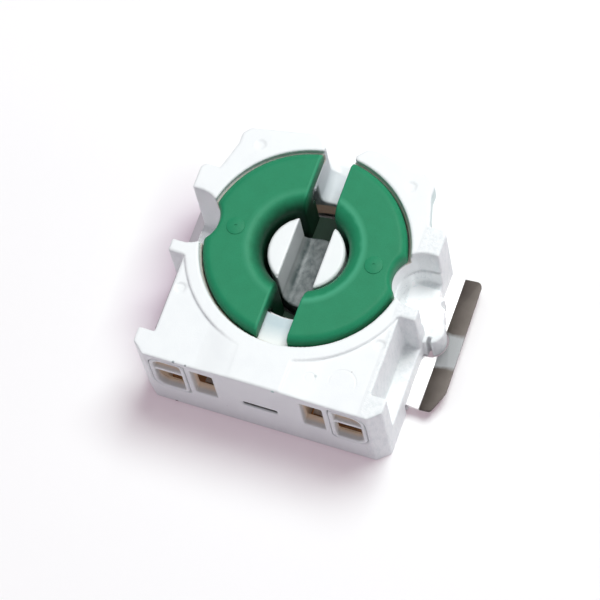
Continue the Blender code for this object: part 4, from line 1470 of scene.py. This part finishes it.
@dataclass
class FlatPieces:
    """Cover, sheet, clip ring and the bent strips: the CAD form with every edge rounded."""

    cover_round: float = 0.15 * MM
    sheet_round: float = 0.05 * MM
    strip_round: float = 0.05 * MM

    def rounded_copy(self, node: str, name: str, width: float) -> bpy.types.Object:
        """Copy a CAD node's form, merge its triangles to flat faces and round its edges.

        Args:
            node: name of the CAD node.
            name: name of the new piece.
            width: width of the rounding.
        Returns:
            The piece.
        """
        mesh = tidied(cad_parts[node].data.copy(), flatten=True)
        mesh.name = name
        return shaded(softened(linked(name, mesh), width), 40.0)

    def build(self, palette: Palette) -> None:
        """Build the cover, the insulating plate, the retaining ring and the springs.

        Args:
            palette: the finishes.
        """
        settle(self.rounded_copy("back_cover", "rear_cover", self.cover_round),
               Body.HOUSING, "white_plastic", palette.white, "back_cover")
        settle(self.rounded_copy("insulating_plate", "insulating_sheet", self.sheet_round),
               Body.HOUSING, "grey_film", palette.film, "insulating_plate")
        settle(self.rounded_copy("rotor_retaining_ring", "rotor_clip_ring", self.sheet_round),
               Body.ROTOR, "spring_steel", palette.spring, "rotor_retaining_ring")
        strips = {"contact_spring": ("bronze", palette.bronze),
                  "terminal_bar": ("bronze", palette.bronze),
                  "clamp_spring": ("spring_steel", palette.spring)}
        for node in list(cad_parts):
            kind = "_".join(node.split("_")[:2])
            if kind in strips:
                slot, finish = strips[kind]
                settle(self.rounded_copy(node, node + "_strip", self.strip_round), Body.HOUSING,
                       slot, finish, node)


@dataclass
class Rotor:
    """Green rotor: two lobes over a joining ring, with funnel, slot, side notches and marks."""

    slot_width: float = 3.7 * MM
    hole_radius: float = 5.1 * MM
    barrel_radius: float = 8.0 * MM
    flange_thickness: float = 2.4 * MM
    rim_round: float = 1.0 * MM
    funnel_round: float = 2.0 * MM
    slot_round: float = 0.28 * MM
    bridge_height: float = 1.2 * MM
    groove_depth: float = 0.5 * MM
    notch_radius: float = 3.4 * MM
    notch_depth: float = 1.2 * MM
    notch_blend: float = 0.35 * MM
    notch_inner: float = 9.3 * MM
    mark_radius: float = 1.1 * MM
    mark_height: float = 0.09 * MM
    pit_radius: float = 0.16 * MM
    pit_flare: float = 0.06 * MM
    top_relief: float = 0.15 * MM
    groove_gap: float = 0.3 * MM
    flange_edge: float = 0.12 * MM
    arc_columns: int = 120
    face_columns: int = 5

    def __post_init__(self) -> None:
        """Read the outer sizes from the frame."""
        low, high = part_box("rotor")
        ring_low, ring_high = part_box("rotor_retaining_ring")
        self.radius = math.hypot(high[1], self.slot_width / 2)
        self.bottom = low[2]
        self.top = high[2] - self.top_relief
        self.groove = (ring_low[2] - self.groove_gap, ring_high[2] + self.groove_gap)

    def profile(self) -> np.ndarray:
        """Closed profile of a lobe as radius and height, counter-clockwise from the hole's foot.

        Returns:
            The hole's wall, the underside, barrel and groove, the rim round and the funnel.
        """
        flange = self.top - self.flange_thickness
        groove_radius = self.barrel_radius - self.groove_depth
        foot = self.bottom + self.bridge_height / 2
        edge = self.flange_edge
        rim = quarter((self.radius - self.rim_round, self.top - self.rim_round),
                      self.rim_round, 0.0, 12)
        funnel = quarter((self.hole_radius + self.funnel_round, self.top - self.funnel_round),
                         self.funnel_round, 90.0, 16)
        flat = np.linspace(rim[-1], funnel[0], 14)[1:-1]
        wall = np.array([(self.hole_radius, foot), (self.barrel_radius, foot),
                         (self.barrel_radius, self.groove[0]), (groove_radius, self.groove[0]),
                         (groove_radius, self.groove[1]), (self.barrel_radius, self.groove[1]),
                         (self.barrel_radius, flange), (self.notch_inner, flange),
                         (self.radius - edge, flange), (self.radius, flange + edge)])
        return np.concatenate((wall, rim, flat, funnel))

    def reach(self, angle: np.ndarray) -> np.ndarray:
        """Outer radius over the angle from the notch's middle.

        The ray meets the notch circle at c cos a - sqrt(n^2 - c^2 sin^2 a), with c the
        circle's distance and n its radius; a smooth least of that and the rim rounds the
        corner between them.
        Args:
            angle: angles in radians.
        Returns:
            The radius at each angle.
        """
        centre = self.radius + self.notch_radius - self.notch_depth
        across = self.notch_radius ** 2 - (centre * np.sin(angle)) ** 2
        notch = centre * np.cos(angle) - np.sqrt(np.maximum(across, 0.0))
        notch = np.where((across > 0.0) & (np.cos(angle) > 0.0), notch, 2.0 * self.radius)
        blend = self.notch_blend
        mix = np.clip(0.5 + 0.5 * (notch - self.radius) / blend, 0.0, 1.0)
        return notch * (1 - mix) + self.radius * mix - blend * mix * (1 - mix) * 0.5

    def lobe(self, name: str) -> bpy.types.Object:
        """Build the right lobe.

        Column by column the profile is carried along its own arcs: a point of radius r lies
        at the angle t acos(h / r) for t from -1 to 1, so that the end columns lie in the
        slot's face x = h. Towards that face the profile shrinks by the slot's rounding.
        Args:
            name: name of the object.
        Returns:
            The closed lobe.
        """
        profile = self.profile()
        half = self.slot_width / 2
        turn = np.linspace(0.0, math.pi / 2, self.face_columns + 1)[:-1]
        depth = self.slot_round * (1 - np.cos(turn))
        shrink = self.slot_round * (1 - np.sin(turn))
        even = np.linspace(-1.0, 1.0, self.arc_columns)
        spread = 0.5 * np.sin(even * math.pi / 2) + 0.5 * even
        columns = [(half + d, s, -1.0) for d, s in zip(depth, shrink)]
        columns += [(half + self.slot_round, 0.0, t) for t in spread]
        columns += [(x, s, 1.0) for x, s, _ in columns[:self.face_columns][::-1]]
        plane = np.array([column[0] for column in columns])[:, None]
        less = [inset(profile, column[1]) for column in columns]
        side = np.array([column[2] for column in columns])[:, None]
        radius = np.stack([line[:, 0] for line in less])
        height = np.stack([line[:, 1] for line in less])
        angle = side * np.arccos(np.minimum(plane / radius, 1.0))
        outside = np.clip((radius - self.notch_inner) / (self.radius - self.notch_inner), 0, 1)
        radius = radius + outside * (self.reach(angle) - self.radius)
        grid = np.stack((radius * np.cos(angle), radius * np.sin(angle), height), axis=-1)
        return solid(name, grid)

    def joining_ring(self) -> bpy.types.Object:
        """Ring under the slot that joins the two lobes.

        Returns:
            The closed ring.
        """
        low, high = self.bottom, self.bottom + self.bridge_height
        profile = np.array([(self.hole_radius, low), (self.barrel_radius, low),
                            (self.barrel_radius, high), (self.hole_radius, high)])
        return solid("joining_ring", turned(profile, 192), ring=True)

    def mark(self, side: Side) -> bpy.types.Object:
        """Raised round mark of the mould on one lobe, with a soft rim.

        Args:
            side: side of the lobe.
        Returns:
            The closed mark.
        """
        profile = soft_ends(self.top - self.rim_round, self.top + self.mark_height, 0.0,
                            self.mark_height * 0.8, 3)
        return solid("mark", stack(circle(self.lobe_middle(side), self.mark_radius, 40), profile))

    def pit(self, side: Side) -> bpy.types.Object:
        """Small pit in the middle of a mark, as a cutter.

        Args:
            side: side of the lobe.
        Returns:
            The closed cutter.
        """
        profile = [(0.0, self.top + self.mark_height * 0.2),
                   (-self.pit_flare, self.top + self.mark_height * 2)]
        return solid("pit", stack(circle(self.lobe_middle(side), self.pit_radius, 14), profile))

    def lobe_middle(self, side: Side) -> Pair:
        """Middle of a lobe's face, half-way between the hole and the rim."""
        return side.value * (self.hole_radius + self.radius) / 2, 0.0

    def build(self, palette: Palette) -> None:
        """Build the rotor and put it on its body.

        Args:
            palette: the finishes.
        """
        right = self.lobe("rotor_body")
        left = mirror_image("left_lobe", right)
        joined = combine(self.joining_ring(), [right, left], "UNION")
        joined = combine(joined, [self.mark(side) for side in Side], "UNION")
        joined = combine(joined, [self.pit(side) for side in Side])
        joined.name = "rotor_body"
        joined.data.name = "rotor_body"
        settle(shaded(joined), Body.ROTOR, "green_plastic", palette.green, "rotor")


@dataclass
class CentreGuide:
    """White guide: two lens-shaped posts on a round foot, with a spigot in the steel plate."""

    step: float = 0.12 * MM
    slot_half: float = 2.15 * MM
    slot_floor: float = 6.0 * MM
    slot_hollow: float = 1.1 * MM
    slot_round: float = 0.22 * MM
    top_round: float = 0.4 * MM
    foot_round: float = 0.15 * MM
    spigot_radius: float = 2.4 * MM
    spigot_sink: float = 0.5 * MM
    nick_round: float = 0.08 * MM
    nicks: tuple[tuple[Corner, float], ...] = mm((
        ((2.35, 3.9, 12.35), 0.3), ((-2.9, 3.65, 12.4), 0.28), ((-2.2, -3.9, 12.3), 0.26)))

    def build(self, palette: Palette) -> None:
        """Mould the guide and put it on the housing.

        Args:
            palette: the finishes.
        """
        low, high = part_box("centre_guide")
        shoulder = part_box("rotor")[0][2]
        clay = Clay(low, high, self.step)
        clay.keep(both(clay.radius - high[1], clay.z - high[2], self.top_round))
        clay.keep(shoulder - clay.z, self.foot_round)
        clay.cut(both(clay.side - self.slot_half, self.slot_floor - clay.z, self.slot_hollow),
                 self.slot_round)
        for (x, y, z), radius in self.nicks:
            clay.cut(np.sqrt((clay.x - x) ** 2 + (clay.y - y) ** 2 + (clay.z - z) ** 2) - radius,
                     self.nick_round)
        clay.add(both(clay.radius - self.spigot_radius,
                      between(clay.z, low[2], self.slot_floor - self.spigot_sink),
                      self.foot_round))
        settle(clay.surface("guide_insert"), Body.HOUSING, "white_plastic", palette.guide,
               "centre_guide")


@dataclass
class MountingPlate:
    """Sheet steel plate under the housing with a wing on each side and a lip on the right."""

    strip: float = 1.6 * MM
    lip_width: float = 2.55 * MM
    lip_rise: float = 0.5 * MM
    lip_far_corner: Pair = mm((0.3, 0.7))  # set back, radius
    lip_slant: Pair = mm((1.1, 2.6))  # x, y
    slant_rounds: Pair = mm((0.4, 2.0))  # near, far
    wing_drop: float = 0.2 * MM
    fold_radius: float = 0.5 * MM
    thickness: float = 0.5 * MM
    edge_round: float = 0.06 * MM
    body_far: Pair = mm((9.3, 8.3))  # x, y
    body_near: Pair = mm((13.6, -16.3))  # x, y
    wing_far: float = 6.2 * MM
    wing_near: float = -11.0 * MM
    corner: float = 0.5 * MM
    root_radius: float = 1.0 * MM
    cover_gap: float = 0.3 * MM
    peg_hole: Corner = mm((15.5, -2.5, 2.05))  # x, y, radius
    spigot_hole: Corner = mm((0.0, 0.0, 2.7))  # x, y, radius
    rivet_clearance: float = 1.0 * MM
    cutter_height: float = 4.0 * MM

    def __post_init__(self) -> None:
        """Read the outer sizes from the frame."""
        low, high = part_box("mounting_plate")
        self.reach = high[0]
        self.left_reach = low[0]
        self.fold = self.reach - self.lip_width
        self.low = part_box("back_cover")[1][2] + self.cover_gap

    def section(self) -> np.ndarray:
        """Height of the sheet's middle over X, with a bend at the wings' roots and at the fold.

        Returns:
            Points of x and height from the left wing's edge to the lip's edge.
        """
        knee, root = self.fold - self.strip, self.root_radius
        return bent_path([(self.left_reach, -self.wing_drop, 0.0), (-knee, 0.0, root),
                          (knee, 0.0, root), (self.fold, -self.wing_drop, self.fold_radius),
                          (self.reach, self.lip_rise - self.wing_drop, 0.0)])

    def plan(self) -> np.ndarray:
        """Outline of the sheet before it is bent, with the lip's rounded and slanted corners.

        Returns:
            Array of x, y points, counter-clockwise.
        """
        far_x, far_y = self.body_far
        near_x, near_y = self.body_near
        soft = self.corner
        back, far_round = self.lip_far_corner
        slant_x, slant_y = self.lip_slant
        near_round, slant_round = self.slant_rounds
        right = [(far_x, far_y, soft), (far_x, self.wing_far, soft / 2),
                 (self.reach - back, self.wing_far, far_round),
                 (self.reach, self.wing_near + slant_y, slant_round),
                 (self.reach - slant_x, self.wing_near, near_round),
                 (near_x, self.wing_near, soft / 2), (near_x, near_y, soft)]
        left = [(-near_x, near_y, soft), (-near_x, self.wing_near, soft / 2),
                (self.left_reach, self.wing_near, soft), (self.left_reach, self.wing_far, soft),
                (-far_x, self.wing_far, soft / 2), (-far_x, far_y, soft)]
        return rounded_outline(right + left)[::-1]

    def bent(self, sheet: bpy.types.Object) -> bpy.types.Object:
        """Bend a flat sheet: cut it along X at each point of the section, then lift each point.

        A point at x rises by the section's height there.
        Args:
            sheet: flat closed sheet.
        Returns:
            The bent sheet.
        """
        line = self.section()
        shape = bmesh.new()
        shape.from_mesh(sheet.data)
        for x in line[1:-1, 0]:
            parts = shape.verts[:] + shape.edges[:] + shape.faces[:]
            bmesh.ops.bisect_plane(shape, geom=parts, dist=1e-7, plane_co=(x, 0.0, 0.0),
                                   plane_no=(1.0, 0.0, 0.0))
        shape.to_mesh(sheet.data)
        shape.free()
        points = np.empty(len(sheet.data.vertices) * 3)
        sheet.data.vertices.foreach_get("co", points)
        points = points.reshape(-1, 3)
        points[:, 2] += np.interp(points[:, 0], line[:, 0], line[:, 1])
        sheet.data.vertices.foreach_set("co", points.ravel())
        return sheet

    def build(self, palette: Palette) -> None:
        """Build the plate and put it on the housing.

        Args:
            palette: the finishes.
        """
        soft = self.edge_round
        plate = solid("steel_plate", stack(self.plan(), soft_ends(
            self.low, self.low + self.thickness, soft, soft, 3)))
        holes = [self.peg_hole, self.spigot_hole]
        holes += [(x, y, self.rivet_clearance) for x, y in rivet_places()]
        through = [(0.0, 0.0), (0.0, self.cutter_height)]
        combine(plate, [solid("hole", stack(circle((x, y), radius, 40), through))
                        for x, y, radius in holes])
        settle(shaded(self.bent(plate), 30.0), Body.HOUSING, "bright_steel", palette.wing,
               "mounting_plate")


def rivet_places() -> list[Pair]:
    """Centres of the four cover rivets, read from their CAD nodes.

    Returns:
        The centres' x and y.
    """
    boxes = [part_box(name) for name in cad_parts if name.startswith("cover_rivet")]
    return [((low[0] + high[0]) / 2, (low[1] + high[1]) / 2) for low, high in boxes]


@dataclass(frozen=True)
class Lamp:
    """Square area lamp: where it hangs, its side in metres, its watts and its colour."""

    name: str
    place: Corner
    size: float
    power: float
    colour: Colour

    def hang(self) -> None:
        """Hang the lamp, facing the holder."""
        data = bpy.data.lights.new(self.name, "AREA")
        data.shape = "SQUARE"
        data.size = self.size
        data.energy = self.power
        data.color = self.colour
        lamp = bpy.data.objects.new(self.name, data)
        bpy.context.collection.objects.link(lamp)
        lamp.location = self.place
        lamp.rotation_euler = (-Vector(self.place)).to_track_quat("-Z", "Y").to_euler()


@dataclass
class Studio:
    """Pale floor, soft lamps and the camera."""

    forward: Corner = (-0.22117775, 0.32963816, -0.91783391)
    right: Corner = (0.93678616, 0.33346617, -0.10598114)
    place: Corner = (0.10091, -0.15429, 0.42557)
    focal_pixels: float = 3882.8
    image_width: float = 600.0
    sensor: float = 36.0
    floor_size: float = 3.0
    floor_bounce: Colour = (0.80, 0.74, 0.79)
    floor_shaded: Colour = (0.77, 0.85, 0.82)
    floor_glow: Colour = (0.20, 0.110, 0.140)
    floor_drop: float = 0.02 * MM
    # Box, tone and glow of the painted shadow on the floor
    painted_shadow: Shade = Shade(mm((0.0, -8.0, -1.0)), mm((17.0, 4.0, 1.0)), mm((7.0, 9.0, 1.0)),
                        (0.55, 0.54, 0.58), (0.16, 0.085, 0.115))
    painted_shadow_start: Pair = mm((0.0, 5.0))
    sky: Colour = (0.95, 0.90, 1.0)
    sky_strength: float = 0.28
    shine_strength: float = 0.5
    lamps: tuple[Lamp, ...] = (
        Lamp("key", (0.12, 0.24, 0.62), 0.34, 4.1, (0.98, 1.0, 0.99)),
        Lamp("side", (0.60, 0.04, 0.11), 0.25, 0.45, (0.97, 1.0, 0.99)),
        Lamp("front", (-0.26, -0.50, 0.14), 0.30, 0.21, (1.0, 0.93, 0.97)))

    def camera(self) -> None:
        """Put the camera at the photograph's angle."""
        forward = Vector(self.forward).normalized()
        right = Vector(self.right)
        right = (right - right.dot(forward) * forward).normalized()
        up = right.cross(forward)
        data = bpy.data.cameras.new("camera")
        data.sensor_width = self.sensor
        data.lens = self.focal_pixels / self.image_width * self.sensor
        data.clip_start = 0.01
        camera = bpy.data.objects.new("camera", data)
        bpy.context.collection.objects.link(camera)
        turned_to = Matrix((right, up, -forward)).transposed().to_4x4()
        turned_to.translation = Vector(self.place)
        camera.matrix_world = turned_to
        bpy.context.scene.camera = camera

    def floor(self) -> None:
        """Lay the floor just under the holder, with a painted pink shadow on its left."""
        half, low = self.floor_size / 2, -self.floor_drop
        mesh = bpy.data.meshes.new("floor")
        mesh.from_pydata([(-half, -half, low), (half, -half, low), (half, half, low),
                          (-half, half, low)], [], [(0, 1, 2, 3)])
        floor = linked("floor", mesh)
        finish = Finish("pale_floor")
        seen = finish.ray("Camera").most(finish.ray("Glossy")).most(finish.ray("Transmission"))
        # Painted shadow on the floor to the holder's left
        near = finish.shaded_box(self.painted_shadow) * (0.0 - finish.axis("X")).above(*self.painted_shadow_start)
        shaded_floor = finish.mixed(near, self.floor_shaded, self.painted_shadow.tone)
        glow = finish.mixed(near, self.floor_glow, self.painted_shadow.glow)
        finish.done(Base_Color=finish.mixed(seen, self.floor_bounce, shaded_floor),
                    Emission_Color=finish.mixed(seen, (0.0, 0.0, 0.0), glow),
                    Emission_Strength=1.0, Roughness=0.9, Specular_IOR_Level=0.0)
        floor.data.materials.append(finish.material)

    def world(self) -> None:
        """Even dim surroundings, seen as white by the camera and as pale by glossy rays."""
        world = bpy.data.worlds.new("surroundings")
        world.use_nodes = True
        bpy.context.scene.world = world
        nodes = Nodes(world.node_tree)
        background = nodes.tree.nodes["Background"]
        seen = nodes.ray("Camera")
        shine = nodes.ray("Glossy").most(nodes.ray("Transmission")) * self.shine_strength
        nodes.feed(background.inputs["Color"], nodes.mixed(seen, self.sky, (1.0, 1.0, 1.0)))
        nodes.feed(background.inputs["Strength"],
                   self.sky_strength + seen * (1.0 - self.sky_strength) + shine)

    def build(self) -> None:
        """Set up the whole studio."""
        self.camera()
        self.floor()
        self.world()
        for lamp in self.lamps:
            lamp.hang()
        bpy.context.scene.view_settings.view_transform = "Standard"


# Places on the white plastic with painted shade and painted glow, and its scratches, spots and
# marks, in millimetres. A box is the same on both sides unless it says that it lies around the
# rotor's axis.
SHELL_PAINTED_SHADE_AND_GLOW = (
    # Painted shade on the walls of the insertion mouth
    Shade(mm((0.0, 8.2, 6.4)), mm((1.95, 12.6, 12.4)), mm((0.1, 0.3, 1.3)), (0.70, 0.75, 0.77)),
    # Painted brown shade on the bore wall under the mouth, with a painted glow for light coming
    # through it
    Shade(mm((0.0, 7.8, 3.0)), mm((2.8, 12.8, 5.2)), mm((0.2, 0.3, 0.2)), (0.50, 0.40, 0.31),
          (0.070, 0.048, 0.034)),
    # Painted warm shade in the chambers behind the wire entries, with a painted glow for light
    # coming through their walls
    Shade(mm((5.0, -17.0, 2.4)), mm((13.1, -9.6, 12.2)), mm((0.2, 0.5, 0.3)), (0.96, 0.82, 0.66),
          (0.060, 0.047, 0.037)),
    # Painted shade in the slit in the terminal face
    Shade(mm((0.0, -17.7, 6.0)), mm((2.2, -16.9, 7.0)), mm((0.1, 0.15, 0.1)), (0.10, 0.10, 0.09)),
    # Painted beige shade in the gap round the rotor
    Shade(mm((11.8, -14.0, 11.6)), mm((12.32, 14.0, 13.5)), mm((0.1, 0.1, 0.15)),
          (0.66, 0.60, 0.53), around=True),
    # Painted teal shade on the step under the front plate at the far corners
    Shade(mm((11.3, 7.0, 10.9)), mm((13.3, 11.7, 13.5)), mm((0.1, 0.2, 0.1)), (0.66, 0.80, 0.77)),
    # Painted glow on the floors of the side recesses, for light coming through them; their tone
    # stays white
    Shade(mm((12.0, -2.3, 2.0)), mm((16.4, 2.3, 6.3)), mm((0.4, 0.2, 3.0)), (1.0, 1.0, 1.0),
          (0.095, 0.115, 0.112)),
    # Painted shade on the bridge seen through the rotor's slot
    Shade(mm((0.0, -9.4, 8.0)), mm((1.95, -8.0, 12.1)), mm((0.1, 2.0, 0.3)), (0.55, 0.66, 0.70)))
SHELL_SCRATCHES = (
    Shade(mm((10.8, -3.1, 2.0)), mm((13.6, 3.1, 9.6)), mm((0.2, 0.2, 0.3)), (0.62, 0.66, 0.67)),)
# Painted shade on the floor of the centre guide's slot, darker downwards
GUIDE_PAINTED_SHADE = (
    Shade(mm((0.0, -6.0, 0.0)), mm((6.0, 6.0, 6.2)), mm((0.1, 0.1, 1.8)), (0.062, 0.084, 0.084)),)
SHELL_SPOTS = (
    Spot(mm((-4.4, -16.6, 13.6)), mm(0.16), (0.30, 0.27, 0.25)),
    Spot(mm((-9.9, -17.9, 13.4)), mm(0.22), (0.30, 0.36, 0.37)),
    Spot(mm((-8.4, -17.9, 13.4)), mm(0.18), (0.34, 0.38, 0.38)),
    Spot(mm((2.4, -17.9, 13.5)), mm(0.30), (0.45, 0.62, 0.58)),
    Spot(mm((-11.3, -18.0, 0.2)), mm(0.26), (0.03, 0.025, 0.025)),
    Spot(mm((6.5, -14.7, 13.5)), mm(0.24), (0.62, 0.68, 0.68)))
SHELL_MARKS = mm(((9.7, -14.6, 1.6), (5.9, -15.1, 0.6)))
SHELL_ROUGH_FROM = mm(12.6)


def main() -> None:
    """Build every piece in order, then the studio."""
    logging.basicConfig(level=logging.INFO, format="%(name)s %(message)s")
    plate = MountingPlate()
    palette = Palette(
        white=WhitePlastic().material(),
        shell=WhitePlastic("white_plastic_shell", SHELL_PAINTED_SHADE_AND_GLOW, SHELL_SPOTS, SHELL_MARKS,
                           SHELL_SCRATCHES, SHELL_ROUGH_FROM).material(),
        guide=WhitePlastic("white_plastic_guide", shades=GUIDE_PAINTED_SHADE).material(),
        green=GreenPlastic().material(),
        steel=SheetMetal("bright_steel", colour=(0.66, 0.65, 0.63), dull=(0.45, 0.43, 0.41),
                         roughness=0.24).material(),
        wing=WingSteel(plate.fold, plate.reach).material(),
        bronze=SheetMetal("bronze", colour=(0.56, 0.33, 0.17), dull=(0.36, 0.20, 0.10),
                          roughness=0.30).material(),
        spring=SheetMetal("spring_steel", colour=(0.52, 0.52, 0.52), dull=(0.34, 0.33, 0.32),
                          roughness=0.28).material(),
        film=PressedFilm().material())
    Housing().build(palette)
    WireEntries().build(palette)
    FlatPieces().build(palette)
    Rivets().build(palette)
    Rotor().build(palette)
    CentreGuide().build(palette)
    plate.build(palette)
    Studio().build()


if __name__ == "__main__":
    main()
